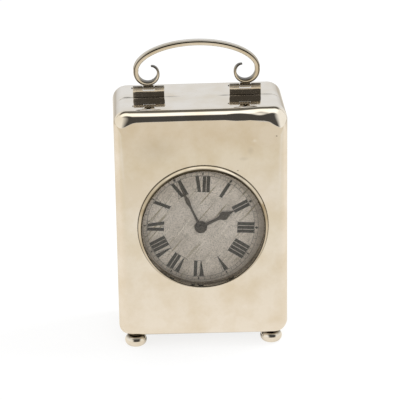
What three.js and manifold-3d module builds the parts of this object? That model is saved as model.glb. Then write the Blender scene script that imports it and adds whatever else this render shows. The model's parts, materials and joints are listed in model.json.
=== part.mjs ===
// Silver-cased desk timepiece: a rounded box on four bun feet, with a scroll handle on two small hinges,
// a round glazed dial in the front, a hinged door at the back and a round lever movement inside.
// Millimetres. +X is the viewer's right, +Y points to the back and +Z up. The clock stands on z = 0, and
// its origin is the centre of the space that it fills.
import * as THREE from 'three';
import { mergeVertices } from 'three/addons/utils/BufferGeometryUtils.js';
import Module from 'manifold-3d';

const wasm = await Module();
wasm.setup();

// General fits
const overrun = 1;
const seatGap = 0.05;
const runningGap = 0.15;
const openGap = 0.3;
const meshStep = 0.0005;
const roundSides = 36;
const arborSides = 10;
const discSides = 20;
const curveSteps = 4;

// Case
const sideRoom = 2.7;
const doorRoom = 4.2;
const caseHeight = 86.2;
const caseWall = 1.2;
const cornerRadius = 3.7;
const edgeRadius = 3;
const cornerSteps = 4;
const edgeSteps = 4;
const innerSteps = 2;

// Feet
const footHeight = 4.9;
const footRadius = 4;
const footNeckRadius = 2.6;
const footNeckHeight = 0.7;
const footPadRadius = 2;
const footInsetX = 5.95;
const footInsetY = 4.6;
const footSteps = 6;
const footSides = 16;

// Dial opening, bezel and glass
const dialCentreRise = 42.5;
const bezelRadius = 23.9;
const bezelOpening = 22.2;
const bezelStand = 2.6;
const bezelCrown = 0.35;
const sleeveWall = 0.35;
const glassSeatStand = 1;
const glassSeatStep = 0.35;
const glassThickness = 0.8;
const glassCrown = 0.7;
const glassSteps = 2;

// Dial and movement places; the movement sits a little low and left in the opening
const dialShift = -0.5;
const dialDrop = 1;
const dialRecess = 3.4;
const dialThickness = 0.6;
const dialRadius = 23.8;
const motionSpace = 3;
const plateRadius = 25.2;
const plateThickness = 1.4;
const plateSpacing = 14;
const ringWall = 1.9;

// Hands
const handThickness = 0.25;
const hourHandLength = 13.4;
const hourHubRadius = 2.2;
const hourHandStand = 0.5;
const hourTailWidth = 1;
const hourLeafWidth = 4;
const hourLeafAt = 9.3;
const hourLeafEnd = 12;
const hourTipWidth = 0.5;
const minuteHandLength = 19.6;
const minuteHubRadius = 1.7;
const minuteHandStand = 1.4;
const minuteTailWidth = 0.8;
const minuteLeafWidth = 1.7;
const minuteLeafAt = 11.3;
const minuteTipWidth = 0.4;
const colletRadius = 1.25;
const colletStand = 0.55;
const hourHandAngle = 64;
const minuteHandAngle = -24;

// Arbors and pivots
const arborRadius = 0.6;
const pivotRadius = 0.4;
const pivotLength = 1.1;
const endShake = 0.15;
const pivotClearance = 0.15;
const wheelThickness = 0.7;

// Motion work
const frontArborRadius = 0.5;
const cannonWall = 0.27;
const cannonClearance = 0.08;
const hourPipeWall = 0.3;
const hourPipeClearance = 0.1;
const cannonTeeth = 12;
const minuteWheelTeeth = 36;
const minutePinionTeeth = 10;
const hourWheelTeeth = 40;
const cannonModule = 0.25;
const motionPostRadius = 0.55;
const motionPostClearance = 0.1;
const motionWheelThickness = 0.6;
const motionWheelAt = 2.1;
const hourWheelAt = 0.7;

// Going train
const barrelTeeth = 72;
const barrelPinionTeeth = 12;
const barrelModule = 0.32;
const intermediateTeeth = 72;
const centrePinionTeeth = 12;
const intermediateModule = 0.28;
const centreTeeth = 64;
const thirdPinionTeeth = 8;
const centreModule = 0.3;
const thirdTeeth = 60;
const fourthPinionTeeth = 8;
const thirdModule = 0.28;
const fourthTeeth = 60;
const escapePinionTeeth = 6;
const fourthModule = 0.26;
const escapeTeeth = 15;
const escapeRadius = 5;
const escapeToothHeight = 1;
const escapeLeanShare = 0.5;
const barrelDrop = 14;
const thirdAngle = 45;
const fourthAngle = 160;
const escapeAngle = 170;

// Layers between the plates, measured back from the front plate
const centreWheelAt = 0.5;
const barrelAt = 1.6;
const barrelLength = 9;
const barrelFlange = 1.2;
const barrelWall = 0.8;
const barrelInset = 0.7;
const intermediateWheelAt = 11.3;
const thirdWheelAt = 7.5;
const fourthWheelAt = 4.2;
const escapeWheelAt = 9.9;
const pinionMargin = 0.25;
const centreArborRadius = 0.8;
const centrePipeClearance = 0.1;
const centrePipeWall = 0.35;

// Mainspring and winding
const barrelArborRadius = 1.6;
const barrelHubRadius = 2.4;
const springTurns = 5;
const springStrip = 0.3;
const springSteps = 10;
const ratchetRadius = 5;
const ratchetTeeth = 24;
const ratchetToothHeight = 0.7;
const ratchetLeanShare = 0.8;
const ratchetThickness = 0.8;
const ratchetStand = 0.3;
const squareRadius = 1.1;
const keyHubRadius = 2.1;
const keyHubLength = 2.4;
const keyStand = 3.2;
const keyWingSpan = 7.2;
const keyWingRadius = 2.6;
const keyWingThickness = 1.1;
const keyLength = 8.4;
const clickReach = 3.4;
const clickWidth = 1.3;
const clickPivotRadius = 0.6;
const clickHeadRadius = 1.1;
const clickHeadHeight = 0.5;
const clickAngle = 48;
const clickDistance = 8;
const clickSpringWidth = 0.35;
const clickSpringLength = 5;
const clickSpringFoot = 1;
const clickSpringAngle = 50;
const clickSpringGap = 0.55;

// Hand setting
const setKnobRadius = 3.4;
const setKnobLength = 2.2;
const setKnobStand = 4.6;

// Lever and balance
const escapementAngle = 10;
const escapeToLever = 6.2;
const leverToBalance = 6.6;
const palletSpreadAngle = 30;
const palletClearance = 0.4;
const palletWidth = 0.6;
const leverWidth = 0.8;
const forkReach = 4.6;
const leverThickness = 0.6;
const rollerRadius = 1.5;
const rollerThickness = 0.5;
const impulsePinRadius = 0.2;
const impulsePinInset = 0.3;
const balanceRadius = 6;
const balanceRim = 0.9;
const balanceThickness = 0.8;
const balanceStand = 0.8;
const balanceArmWidth = 0.9;
const hairspringStand = 0.45;
const hairspringThickness = 0.25;
const hairspringStrip = 0.18;
const hairspringTurns = 4;
const hairspringInner = 0.85;
const hairspringOuter = 3.6;
const cockStand = 3;
const cockThickness = 1.1;
const cockWidth = 3.2;
const cockFootReach = 8.5;
const cockFootAngle = 120;
const potenceStand = 5.4;
const potenceThickness = 0.8;
const potenceWidth = 2;
const potenceFootReach = 4.5;
const potenceFootAngle = 60;
const potenceFootRadius = 0.9;

// Pillars and screws
const pillarRadius = 1.8;
const pillarCircleRadius = 22.6;
const pillarAngles = [-41, 51, 172];
const screwRadius = 0.7;
const screwHeadRadius = 1.4;
const screwHeadHeight = 0.7;
const screwDepth = 2.4;
const screwSides = 8;
const ringScrewRadius = 0.5;
const ringScrewHead = 0.9;
const ringScrewAngles = [20, 140, 260];

// Back door
const doorWidth = 46;
const doorHeight = 68;
const doorCorner = 3;
const doorThickness = 1;
const doorHingeRadius = 0.9;
const doorHingeStand = 0.4;
const doorHingeReach = 1;
const doorPinRadius = 0.4;
const doorPinClearance = 0.12;
const doorKnuckleLength = 12;
const frameKnuckleLength = 8;
const doorKnuckleShare = 0.25;
const doorKnobRadius = 1.5;
const doorKnobNeck = 0.7;
const doorKnobReach = 2.6;
const doorKnobInset = 4;

// Handle hinges; the handle sits a little left of the middle
const handleShift = -0.5;
const hingeSpacing = 34.9;
const leafWidth = 11.3;
const leafThickness = 0.8;
const hingeAxisRise = 3.5;
const knuckleRadius = 0.7;
const middleKnuckle = 3.9;
const handlePinRadius = 0.3;
const handlePinClearance = 0.1;
const handlePinEnd = 0.6;
const knuckleSaddle = 0.25;
const knuckleSides = 10;

// Carrying handle, a flat strip: a low arch whose ends curl in as scrolls
const handleWidth = 3.3;
const archHalfSpan = 21.9;
const archRise = 17.6;
const archEndRise = 6.9;
const archThickness = 1.85;
const tipThickness = 0.7;
const scrollTipRadius = 2.3;
const scrollTipAngle = 116;
const archSteps = 12;
const scrollSteps = 14;
const archFullness = 1.9;
const scrollCurl = 3.1;

// Places worked out from the sizes above. The case leaves room beside the movement's ring and behind the key.
const caseTop = footHeight + caseHeight;
const openingHeight = footHeight + dialCentreRise;
const frontPlateAt = dialRecess + dialThickness + motionSpace;
const trainAt = frontPlateAt + plateThickness;
const backPlateAt = trainAt + plateSpacing;
const backFace = backPlateAt + plateThickness;
const caseWidth = 2 * (plateRadius + ringWall + caseWall + sideRoom);
const caseDepth = backFace + keyLength + doorRoom + doorThickness;
const halfWidth = caseWidth / 2;
const sleeveRadius = bezelOpening + glassSeatStep + sleeveWall;
const openingRadius = sleeveRadius + seatGap;
const rearReach = Math.max(doorHingeStand + doorHingeRadius, doorKnobReach);
const centring = (bezelStand - rearReach) / 2;
const degrees = Math.PI / 180;

// Helpers for closed meshes and solids

// One closed mesh with shared corners and its faces pointing out.
function closed(geometry) {
  const bare = geometry.clone();
  bare.deleteAttribute('normal');
  bare.deleteAttribute('uv');
  const merged = mergeVertices(bare, meshStep);
  const at = merged.attributes.position;
  const corners = merged.index.array;
  const kept = [];
  let volume = 0;
  const a = new THREE.Vector3();
  const b = new THREE.Vector3();
  const c = new THREE.Vector3();
  for (let i = 0; i < corners.length; i += 3) {
    const [p, q, r] = [corners[i], corners[i + 1], corners[i + 2]];
    if (p === q || q === r || r === p) continue;
    kept.push(p, q, r);
    a.fromBufferAttribute(at, p);
    b.fromBufferAttribute(at, q);
    c.fromBufferAttribute(at, r);
    volume += a.dot(b.cross(c));
  }
  if (volume < 0) kept.reverse();
  merged.setIndex(kept);
  return merged;
}

function solid(geometry) {
  const mesh = closed(geometry);
  return new wasm.Manifold(new wasm.Mesh({
    numProp: 3,
    vertProperties: new Float32Array(mesh.attributes.position.array),
    triVerts: new Uint32Array(mesh.index.array),
  }));
}

function geometryOf(shape) {
  const mesh = shape.getMesh();
  const geometry = new THREE.BufferGeometry();
  geometry.setAttribute('position', new THREE.BufferAttribute(new Float32Array(mesh.vertProperties), 3));
  geometry.setIndex(Array.from(mesh.triVerts));
  return geometry;
}

function join(...geometries) {
  return geometryOf(geometries.map(solid).reduce((whole, next) => whole.add(next)));
}

function cut(geometry, ...tools) {
  return geometryOf(tools.map(solid).reduce((rest, tool) => rest.subtract(tool), solid(geometry)));
}

function common(geometry, other) {
  return geometryOf(solid(geometry).intersect(solid(other)));
}

// A turned piece about the depth axis; each profile point is [radius, y].
function turned(profile, sides = arborSides) {
  const points = profile.map(([radius, y]) => new THREE.Vector2(radius, y));
  return closed(new THREE.LatheGeometry(points, sides));
}

// The same, with its axis upright; each profile point is [radius, z].
function turnedUpright(profile, sides) {
  return turned(profile, sides).rotateX(Math.PI / 2);
}

// A rod or tube about the depth axis, from y0 to y1.
function rod(radius, y0, y1, sides = arborSides) {
  return turned([[0, y0], [radius, y0], [radius, y1], [0, y1]], sides);
}

function tube(inner, outer, y0, y1, sides = arborSides) {
  return turned([[inner, y0], [outer, y0], [outer, y1], [inner, y1], [inner, y0]], sides);
}

// A rod or tube about the width axis, from x0 to x1.
function crossRod(radius, x0, x1, sides = knuckleSides) {
  return rod(radius, -x1, -x0, sides).rotateZ(Math.PI / 2);
}

// A flat shape drawn in width and height, made solid from y0 to y1.
function plate(shape, y0, y1, curveSegments = curveSteps) {
  const geometry = new THREE.ExtrudeGeometry(shape, { depth: y1 - y0, bevelEnabled: false, curveSegments });
  return closed(geometry.rotateX(Math.PI / 2).translate(0, y1, 0));
}

function block(x0, x1, y0, y1, z0, z1) {
  const geometry = new THREE.BoxGeometry(x1 - x0, y1 - y0, z1 - z0);
  return closed(geometry.translate((x0 + x1) / 2, (y0 + y1) / 2, (z0 + z1) / 2));
}

function roundedRectangle(width, height, radius) {
  const [x, y] = [width / 2, height / 2];
  const shape = new THREE.Shape();
  shape.moveTo(-x + radius, -y);
  shape.absarc(x - radius, -y + radius, radius, -Math.PI / 2, 0);
  shape.absarc(x - radius, y - radius, radius, 0, Math.PI / 2);
  shape.absarc(-x + radius, y - radius, radius, Math.PI / 2, Math.PI);
  shape.absarc(-x + radius, -y + radius, radius, Math.PI, 1.5 * Math.PI);
  return shape;
}

function outline(points) {
  return new THREE.Shape(points.map(([x, y]) => new THREE.Vector2(x, y)));
}

function polar(radius, angle, from = [0, 0]) {
  return [from[0] + radius * Math.cos(angle * degrees), from[1] + radius * Math.sin(angle * degrees)];
}

function circle(radius, place = [0, 0], sides = arborSides) {
  return outline(Array.from({ length: sides }, (_, i) => polar(radius, (360 * i) / sides, place)));
}

// A bar with round ends between two points.
function bar(from, to, width) {
  const angle = Math.atan2(to[1] - from[1], to[0] - from[0]);
  const radius = width / 2;
  const shape = new THREE.Shape();
  shape.absarc(to[0], to[1], radius, angle - Math.PI / 2, angle + Math.PI / 2);
  shape.absarc(from[0], from[1], radius, angle + Math.PI / 2, angle + 1.5 * Math.PI);
  return shape;
}

function direction(from, to) {
  return Math.atan2(to[1] - from[1], to[0] - from[0]) / degrees;
}

// Where a circle about one point meets a circle about another, on the left of the line between them.
function meeting(from, fromRadius, to, toRadius) {
  const apart = Math.hypot(to[0] - from[0], to[1] - from[1]);
  const along = (apart ** 2 + fromRadius ** 2 - toRadius ** 2) / (2 * apart);
  const turn = Math.acos(along / fromRadius) / degrees;
  return polar(fromRadius, direction(from, to) + turn, from);
}

// Gears have slim pointed teeth. A wheel's outline has a tooth at the given direction, and a pinion's has
// a gap there.
const addendumShare = 0.75;
const dedendumShare = 1.2;
const leafBaseShare = 0.24;

function wheelShape(teeth, module, towards) {
  const tip = module * (teeth / 2 + addendumShare);
  const root = module * (teeth / 2 - dedendumShare);
  return outline(Array.from({ length: 2 * teeth }, (_, i) => (
    polar(i % 2 ? root : tip, towards + (180 * i) / teeth)
  )));
}

function pinionShape(teeth, module, towards) {
  const tip = module * (teeth / 2 + addendumShare);
  const root = module * (teeth / 2 - dedendumShare);
  const pitch = 360 / teeth;
  const points = [];
  for (let i = 0; i < teeth; i += 1) {
    const middle = towards + (i + 1 / 2) * pitch;
    points.push(polar(root, middle - pitch * leafBaseShare));
    points.push(polar(tip, middle));
    points.push(polar(root, middle + pitch * leafBaseShare));
  }
  return outline(points);
}

function ratchetShape(teeth, tip, height, leanShare) {
  const pitch = 360 / teeth;
  const points = [];
  for (let i = 0; i < teeth; i += 1) {
    points.push(polar(tip, i * pitch));
    points.push(polar(tip - height, (i + leanShare) * pitch));
  }
  return outline(points);
}

function withHole(shape, radius, place = [0, 0]) {
  shape.holes.push(circle(radius, place));
  return shape;
}

// A flat spiral strip between two radii.
function spiral(inner, outer, turns, strip, steps) {
  const count = turns * steps;
  const side = (offset) => Array.from({ length: count + 1 }, (_, i) => {
    const share = i / count;
    return polar(inner + (outer - inner) * share + offset, share * turns * 360);
  });
  return outline([...side(strip / 2), ...side(-strip / 2).reverse()]);
}

// Materials
const silver = new THREE.MeshStandardMaterial({ color: 0xded6c8, roughness: 0.12, metalness: 1 });
const brass = new THREE.MeshStandardMaterial({ color: 0xc7a04e, roughness: 0.3, metalness: 1 });
const steel = new THREE.MeshStandardMaterial({ color: 0x9a9da1, roughness: 0.3, metalness: 1 });
const bluedSteel = new THREE.MeshStandardMaterial({ color: 0x3a3d42, roughness: 0.35, metalness: 1 });
const silveredDial = new THREE.MeshStandardMaterial({ color: 0xc9c6c0, roughness: 0.5, metalness: 0.6 });
const clearGlass = new THREE.MeshStandardMaterial({
  color: 0xf4f6f6, roughness: 0.05, metalness: 0, transparent: true, opacity: 0.25,
});

function piece(name, geometry, material, parent) {
  const mesh = new THREE.Mesh(geometry, material);
  mesh.name = name;
  parent.add(mesh);
  return mesh;
}

const clock = new THREE.Group();
const body = new THREE.Group();
body.position.set(0, centring, 0);
clock.add(body);

// Case: one hollow rounded box, parted into the front, the band and the back frame

function roundedBox(width, depth, height, corner, edge, steps) {
  const shape = roundedRectangle(width, height, corner);
  const geometry = new THREE.ExtrudeGeometry(shape, {
    depth: depth - 2 * edge,
    curveSegments: steps,
    bevelThickness: edge,
    bevelSize: edge,
    bevelOffset: -edge,
    bevelSegments: steps,
  });
  const box = geometry.rotateX(Math.PI / 2).translate(0, depth / 2 - edge, 0);
  return closed(box);
}

function caseShell() {
  const outside = roundedBox(caseWidth, caseDepth, caseHeight, cornerRadius, edgeRadius, edgeSteps);
  const inside = roundedBox(
    caseWidth - 2 * caseWall,
    caseDepth - 2 * caseWall,
    caseHeight - 2 * caseWall,
    cornerRadius - caseWall / 2,
    edgeRadius - caseWall,
    innerSteps,
  );
  return cut(outside, inside).translate(0, 0, footHeight + caseHeight / 2);
}

function depthSlice(y0, y1) {
  return block(-caseWidth, caseWidth, y0, y1, -overrun, caseTop + overrun);
}

const half = caseDepth / 2;
const seamFront = -half + edgeRadius;
const seamBack = half - edgeRadius;
const shell = caseShell();
const caseCentre = footHeight + caseHeight / 2;

function frontPanel() {
  const face = common(shell, depthSlice(-half - overrun, seamFront));
  const opening = rod(openingRadius, -half - overrun, seamFront + overrun, roundSides);
  return cut(face, opening.translate(0, 0, openingHeight));
}

piece('front_panel', frontPanel(), silver, body);
piece('case_band', common(shell, depthSlice(seamFront, seamBack)), silver, body);

// Back frame and door. The door's hinge runs up its right edge, seen from the front.
const doorEdge = doorWidth / 2;
const doorAxis = [doorEdge + doorHingeReach, half + doorHingeStand];
const knuckleHeights = [-1, 1].map((side) => caseCentre + side * doorHeight * doorKnuckleShare);

function uprightRod(radius, z0, z1, sides = arborSides) {
  return turnedUpright([[0, z0], [radius, z0], [radius, z1], [0, z1]], sides);
}

function hingeRod(radius, z0, z1) {
  return uprightRod(radius, z0, z1).translate(doorAxis[0], doorAxis[1], 0);
}

// On each side of a door knuckle the frame has a knuckle of its own.
function frameKnuckleSpans() {
  const spans = [];
  for (const z of knuckleHeights) {
    for (const side of [-1, 1]) {
      const near = z + side * (doorKnuckleLength / 2 + runningGap);
      const far = near + side * frameKnuckleLength;
      spans.push([Math.min(near, far), Math.max(near, far)]);
    }
  }
  return spans;
}

function pinSpan(z) {
  const reach = doorKnuckleLength / 2 + runningGap + frameKnuckleLength;
  return [z - reach, z + reach];
}

function rearFrame() {
  const back = common(shell, depthSlice(seamBack, half + overrun));
  const hole = roundedRectangle(doorWidth + 2 * openGap, doorHeight + 2 * openGap, doorCorner + openGap);
  const opening = plate(hole, seamBack - overrun, half + overrun, cornerSteps).translate(0, 0, caseCentre);
  const notches = knuckleHeights.map((z) => block(
    doorEdge,
    doorAxis[0] + doorHingeRadius + openGap,
    seamBack - overrun,
    half + overrun,
    z - doorKnuckleLength / 2 - runningGap,
    z + doorKnuckleLength / 2 + runningGap,
  ));
  const open = cut(back, opening, ...notches);
  const knuckles = frameKnuckleSpans().map(([z0, z1]) => join(
    hingeRod(doorHingeRadius, z0, z1),
    block(doorAxis[0], doorAxis[0] + doorHingeRadius, half - caseWall / 2, doorAxis[1], z0, z1),
  ));
  const bores = knuckleHeights.map((z) => {
    const [z0, z1] = pinSpan(z);
    return hingeRod(doorPinRadius + doorPinClearance, z0 - overrun, z1 + overrun);
  });
  return cut(join(open, ...knuckles), ...bores);
}

function rearDoor() {
  const panel = roundedRectangle(doorWidth, doorHeight, doorCorner);
  const leaf = plate(panel, half - doorThickness, half, cornerSteps).translate(0, 0, caseCentre);
  const knuckles = knuckleHeights.map((z) => {
    const [z0, z1] = [z - doorKnuckleLength / 2, z + doorKnuckleLength / 2];
    const arm = block(doorEdge - doorThickness, doorAxis[0], half - doorThickness, doorAxis[1], z0, z1);
    return join(hingeRod(doorHingeRadius, z0, z1), arm);
  });
  const bores = knuckleHeights.map((z) => hingeRod(
    doorPinRadius + doorPinClearance,
    z - doorKnuckleLength / 2 - overrun,
    z + doorKnuckleLength / 2 + overrun,
  ));
  return cut(join(leaf, ...knuckles), ...bores);
}

piece('rear_frame', rearFrame(), silver, body);
piece('rear_door', rearDoor(), silver, body);
knuckleHeights.forEach((z, i) => {
  const [z0, z1] = pinSpan(z);
  piece(`rear_door_pin_${i ? 'upper' : 'lower'}`, hingeRod(doorPinRadius, z0, z1), steel, body);
});

function doorKnob() {
  const swell = doorKnobReach - doorKnobRadius;
  return turned([
    [0, 0],
    [doorKnobNeck, 0],
    [doorKnobNeck, swell / 2],
    [doorKnobRadius, swell],
    [doorKnobRadius, swell + doorKnobRadius / 2],
    [doorKnobRadius / 2, doorKnobReach],
    [0, doorKnobReach],
  ]);
}

piece('door_knob', doorKnob(), silver, body).position.set(-doorEdge + doorKnobInset, half, caseCentre);

// Bun feet
function bunFoot() {
  const bunHeight = footHeight - footNeckHeight;
  const profile = [[0, footHeight], [footNeckRadius, footHeight], [footNeckRadius, bunHeight]];
  const middle = bunHeight / 2;
  for (let i = 0; i <= footSteps; i += 1) {
    const angle = Math.PI / 2 - (Math.PI * i) / footSteps;
    const radius = footPadRadius + (footRadius - footPadRadius) * Math.cos(angle);
    profile.push([radius, middle + middle * Math.sin(angle)]);
  }
  profile.push([0, 0]);
  return turnedUpright(profile, footSides);
}

for (const [name, sx, sy] of [['front_left', -1, -1], ['front_right', 1, -1], ['rear_left', -1, 1],
  ['rear_right', 1, 1]]) {
  const foot = piece(`foot_${name}`, bunFoot(), silver, body);
  foot.position.set(sx * (halfWidth - footInsetX), sy * (half - footInsetY), 0);
}

// Handle hinges: an upright leaf with two outer knuckles, and the handle's middle knuckle between them
const hingeAxisHeight = caseTop + hingeAxisRise;

function hingeLeaf() {
  const gap = middleKnuckle / 2 + runningGap;
  const leaf = block(-leafWidth / 2, leafWidth / 2, -leafThickness / 2, leafThickness / 2, -hingeAxisRise, 0);
  const clear = knuckleRadius + knuckleSaddle + runningGap;
  const notch = block(-gap, gap, -leafThickness, leafThickness, -clear, overrun);
  const left = crossRod(knuckleRadius, -leafWidth / 2, -gap);
  const right = crossRod(knuckleRadius, gap, leafWidth / 2);
  const bore = crossRod(handlePinRadius + handlePinClearance, -leafWidth, leafWidth);
  return cut(join(cut(leaf, notch), left, right), bore);
}

function middleKnuckleShape() {
  const barrel = crossRod(knuckleRadius, -middleKnuckle / 2, middleKnuckle / 2);
  const top = knuckleRadius + knuckleSaddle;
  const saddle = block(-middleKnuckle / 2, middleKnuckle / 2, -knuckleRadius / 2, knuckleRadius / 2, 0, top);
  const bore = crossRod(handlePinRadius + handlePinClearance, -middleKnuckle, middleKnuckle);
  return cut(join(barrel, saddle), bore);
}

for (const [name, side] of [['left', -1], ['right', 1]]) {
  const place = [handleShift + side * hingeSpacing / 2, 0, hingeAxisHeight];
  const pinEnd = leafWidth / 2 + handlePinEnd;
  piece(`hinge_leaf_${name}`, hingeLeaf(), silver, body).position.set(...place);
  piece(`handle_pin_${name}`, crossRod(handlePinRadius, -pinEnd, pinEnd), steel, body).position.set(...place);
  piece(`handle_knuckle_${name}`, middleKnuckleShape(), silver, body).position.set(...place);
}

// Handle: the middle line of the strip's right half, from the crown of the arch to the scroll's tip,
// as [x, z, thickness] above the hinge axis
function handleLine() {
  const line = [];
  const crown = archRise - archThickness / 2;
  for (let i = 0; i < archSteps; i += 1) {
    const angle = (Math.PI / 2) * (i / archSteps);
    const z = archEndRise + (crown - archEndRise) * Math.cos(angle) ** (2 / archFullness);
    line.push([archHalfSpan * Math.sin(angle), z, archThickness]);
  }
  const scrollRadius = archHalfSpan - hingeSpacing / 2;
  const bottom = knuckleRadius + knuckleSaddle + seatGap + (archThickness + tipThickness) / 4;
  const centre = [hingeSpacing / 2, bottom + scrollRadius];
  const first = direction(centre, [archHalfSpan, archEndRise]);
  const sweep = first + 360 - scrollTipAngle;
  for (let i = 0; i <= scrollSteps; i += 1) {
    const share = i / scrollSteps;
    const radius = scrollRadius - (scrollRadius - scrollTipRadius) * share ** scrollCurl;
    const [x, z] = polar(radius, first - sweep * share, centre);
    line.push([x, z, archThickness + (tipThickness - archThickness) * share]);
  }
  return line;
}

function handleStrip() {
  const right = handleLine();
  const left = right.slice(1).map(([x, z, thickness]) => [-x, z, thickness]).reverse();
  const line = [...left, ...right];
  const outer = [];
  const inner = [];
  line.forEach(([x, z, thickness], i) => {
    const before = line[Math.max(0, i - 1)];
    const after = line[Math.min(line.length - 1, i + 1)];
    const length = Math.hypot(after[0] - before[0], after[1] - before[1]);
    const normal = [-(after[1] - before[1]) / length, (after[0] - before[0]) / length];
    outer.push([x + (normal[0] * thickness) / 2, z + (normal[1] * thickness) / 2]);
    inner.push([x - (normal[0] * thickness) / 2, z - (normal[1] * thickness) / 2]);
  });
  return plate(outline([...outer, ...inner.reverse()]), -handleWidth / 2, handleWidth / 2);
}

piece('carry_handle', handleStrip(), silver, body).position.set(handleShift, 0, hingeAxisHeight);

// Bezel and glass, about the opening's own centre; y is measured back from the case's front face
const opening = new THREE.Group();
opening.position.set(0, -half, openingHeight);
body.add(opening);

function bezelRing() {
  const seat = bezelOpening + glassSeatStep;
  return turned([
    [bezelOpening, -glassSeatStand],
    [bezelOpening, -bezelStand + 2 * bezelCrown],
    [bezelOpening + bezelCrown, -bezelStand],
    [bezelRadius - bezelCrown, -bezelStand],
    [bezelRadius, -bezelStand + 2 * bezelCrown],
    [bezelRadius, 0],
    [sleeveRadius, 0],
    [sleeveRadius, dialRecess],
    [seat, dialRecess],
    [seat, -glassSeatStand],
    [bezelOpening, -glassSeatStand],
  ], roundSides);
}

function glassDisc() {
  const radius = bezelOpening + glassSeatStep - seatGap;
  const front = [];
  const back = [];
  for (let i = 0; i <= glassSteps; i += 1) {
    const share = i / glassSteps;
    const crown = glassCrown * (1 - share ** 2);
    const y = seatGap - glassSeatStand - crown;
    front.push([radius * share, y]);
    back.push([radius * share, y + glassThickness]);
  }
  return turned([...front, ...back.reverse()], roundSides);
}

piece('bezel', bezelRing(), silver, opening);
piece('glass', glassDisc(), clearGlass, opening);

// Movement, about the hands' centre
const movement = new THREE.Group();
movement.position.set(dialShift, -half, openingHeight - dialDrop);
body.add(movement);

// Arbor places as [x, z]
const centre = [0, 0];
const barrelPlace = [0, -barrelDrop];
const meshDistance = (module, wheel, pinion) => (module * (wheel + pinion)) / 2;
const barrelMesh = meshDistance(barrelModule, barrelTeeth, barrelPinionTeeth);
const intermediateMesh = meshDistance(intermediateModule, intermediateTeeth, centrePinionTeeth);
const intermediatePlace = meeting(barrelPlace, barrelMesh, centre, intermediateMesh);
const thirdPlace = polar(meshDistance(centreModule, centreTeeth, thirdPinionTeeth), thirdAngle);
const thirdMesh = meshDistance(thirdModule, thirdTeeth, fourthPinionTeeth);
const fourthPlace = polar(thirdMesh, fourthAngle, thirdPlace);
const fourthMesh = meshDistance(fourthModule, fourthTeeth, escapePinionTeeth);
const escapePlace = polar(fourthMesh, escapeAngle, fourthPlace);
const leverPlace = polar(escapeToLever, escapementAngle, escapePlace);
const balancePlace = polar(leverToBalance, escapementAngle, leverPlace);
const minuteWheelPlace = polar(meshDistance(cannonModule, minuteWheelTeeth, cannonTeeth), -90);
const pillarPlaces = pillarAngles.map((angle) => polar(pillarCircleRadius, angle));
const clickPlace = polar(clickDistance, clickAngle, barrelPlace);
const cockFoot = polar(cockFootReach, cockFootAngle, balancePlace);
const potenceFoot = polar(potenceFootReach, potenceFootAngle, balancePlace);

function at(mesh, place) {
  mesh.position.set(place[0], 0, place[1]);
  return mesh;
}

// Dial
const cannonBore = frontArborRadius + cannonClearance;
const cannonRadius = cannonBore + cannonWall;
const hourBore = cannonRadius + hourPipeClearance;
const hourPipeRadius = hourBore + hourPipeWall;
const dialBore = hourPipeRadius + runningGap;
piece('dial', plate(
  withHole(circle(dialRadius, centre, roundSides), dialBore),
  dialRecess,
  dialRecess + dialThickness,
), silveredDial, movement);

// The ring that carries the movement, soldered behind the front
const ringMiddle = plateRadius + ringWall / 4;
const ringScrewPlaces = ringScrewAngles.map((angle) => polar(ringMiddle, angle));

function borings(places, radius, y0, y1) {
  return places.map(([x, z]) => rod(radius, y0, y1, screwSides).translate(x, 0, z));
}

piece('movement_ring', cut(
  tube(plateRadius - ringWall / 2, plateRadius + ringWall, caseWall, frontPlateAt, roundSides),
  ...borings(ringScrewPlaces, ringScrewRadius + seatGap, frontPlateAt - screwDepth, frontPlateAt + overrun),
), brass, movement);

function plateDisc(radius, holes, y0) {
  const shape = circle(radius, centre, roundSides);
  for (const [place, bore] of holes) withHole(shape, bore, place);
  return plate(shape, y0, y0 + plateThickness);
}

const pivotHole = pivotRadius + pivotClearance;
const trainPivots = [intermediatePlace, thirdPlace, fourthPlace, escapePlace].map((p) => [p, pivotHole]);

// The front plate also carries the post of the minute wheel.
function frontPlate() {
  const disc = plateDisc(plateRadius + ringWall, [
    [centre, centreArborRadius + pivotClearance],
    [barrelPlace, arborRadius + pivotClearance],
    ...trainPivots,
    ...ringScrewPlaces.map((p) => [p, ringScrewRadius + seatGap]),
  ], frontPlateAt);
  const postFrom = dialRecess + dialThickness + runningGap;
  const post = rod(motionPostRadius, postFrom, frontPlateAt + plateThickness / 2);
  return join(disc, post.translate(minuteWheelPlace[0], 0, minuteWheelPlace[1]));
}

piece('front_plate', frontPlate(), brass, movement);
piece('back_plate', plateDisc(plateRadius, [
  [centre, centreArborRadius + pivotClearance],
  [barrelPlace, barrelArborRadius + pivotClearance],
  [balancePlace, arborRadius + openGap],
  ...trainPivots,
  [leverPlace, pivotHole],
  ...pillarPlaces.map((p) => [p, screwRadius + seatGap]),
], backPlateAt), brass, movement);

function screw(radius, head, length, headHeight, seat) {
  return turned([
    [0, seat - length],
    [radius, seat - length],
    [radius, seat],
    [head, seat],
    [head, seat + headHeight],
    [0, seat + headHeight],
  ], screwSides);
}

const pillarBore = [backPlateAt - screwDepth, backPlateAt + overrun];
pillarPlaces.forEach((place, i) => {
  const bore = rod(screwRadius + seatGap, ...pillarBore, screwSides);
  const pillar = cut(rod(pillarRadius, trainAt, backPlateAt), bore);
  const shank = plateThickness + screwDepth - seatGap;
  at(piece(`pillar_${i + 1}`, pillar, brass, movement), place);
  at(piece(`plate_screw_${i + 1}`, screw(screwRadius, screwHeadRadius, shank, screwHeadHeight, backFace),
    bluedSteel, movement), place);
});

ringScrewPlaces.forEach((place, i) => {
  const shank = plateThickness + screwDepth - seatGap;
  at(piece(`ring_screw_${i + 1}`, screw(ringScrewRadius, ringScrewHead, shank, screwHeadHeight, trainAt),
    bluedSteel, movement), place);
});

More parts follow.
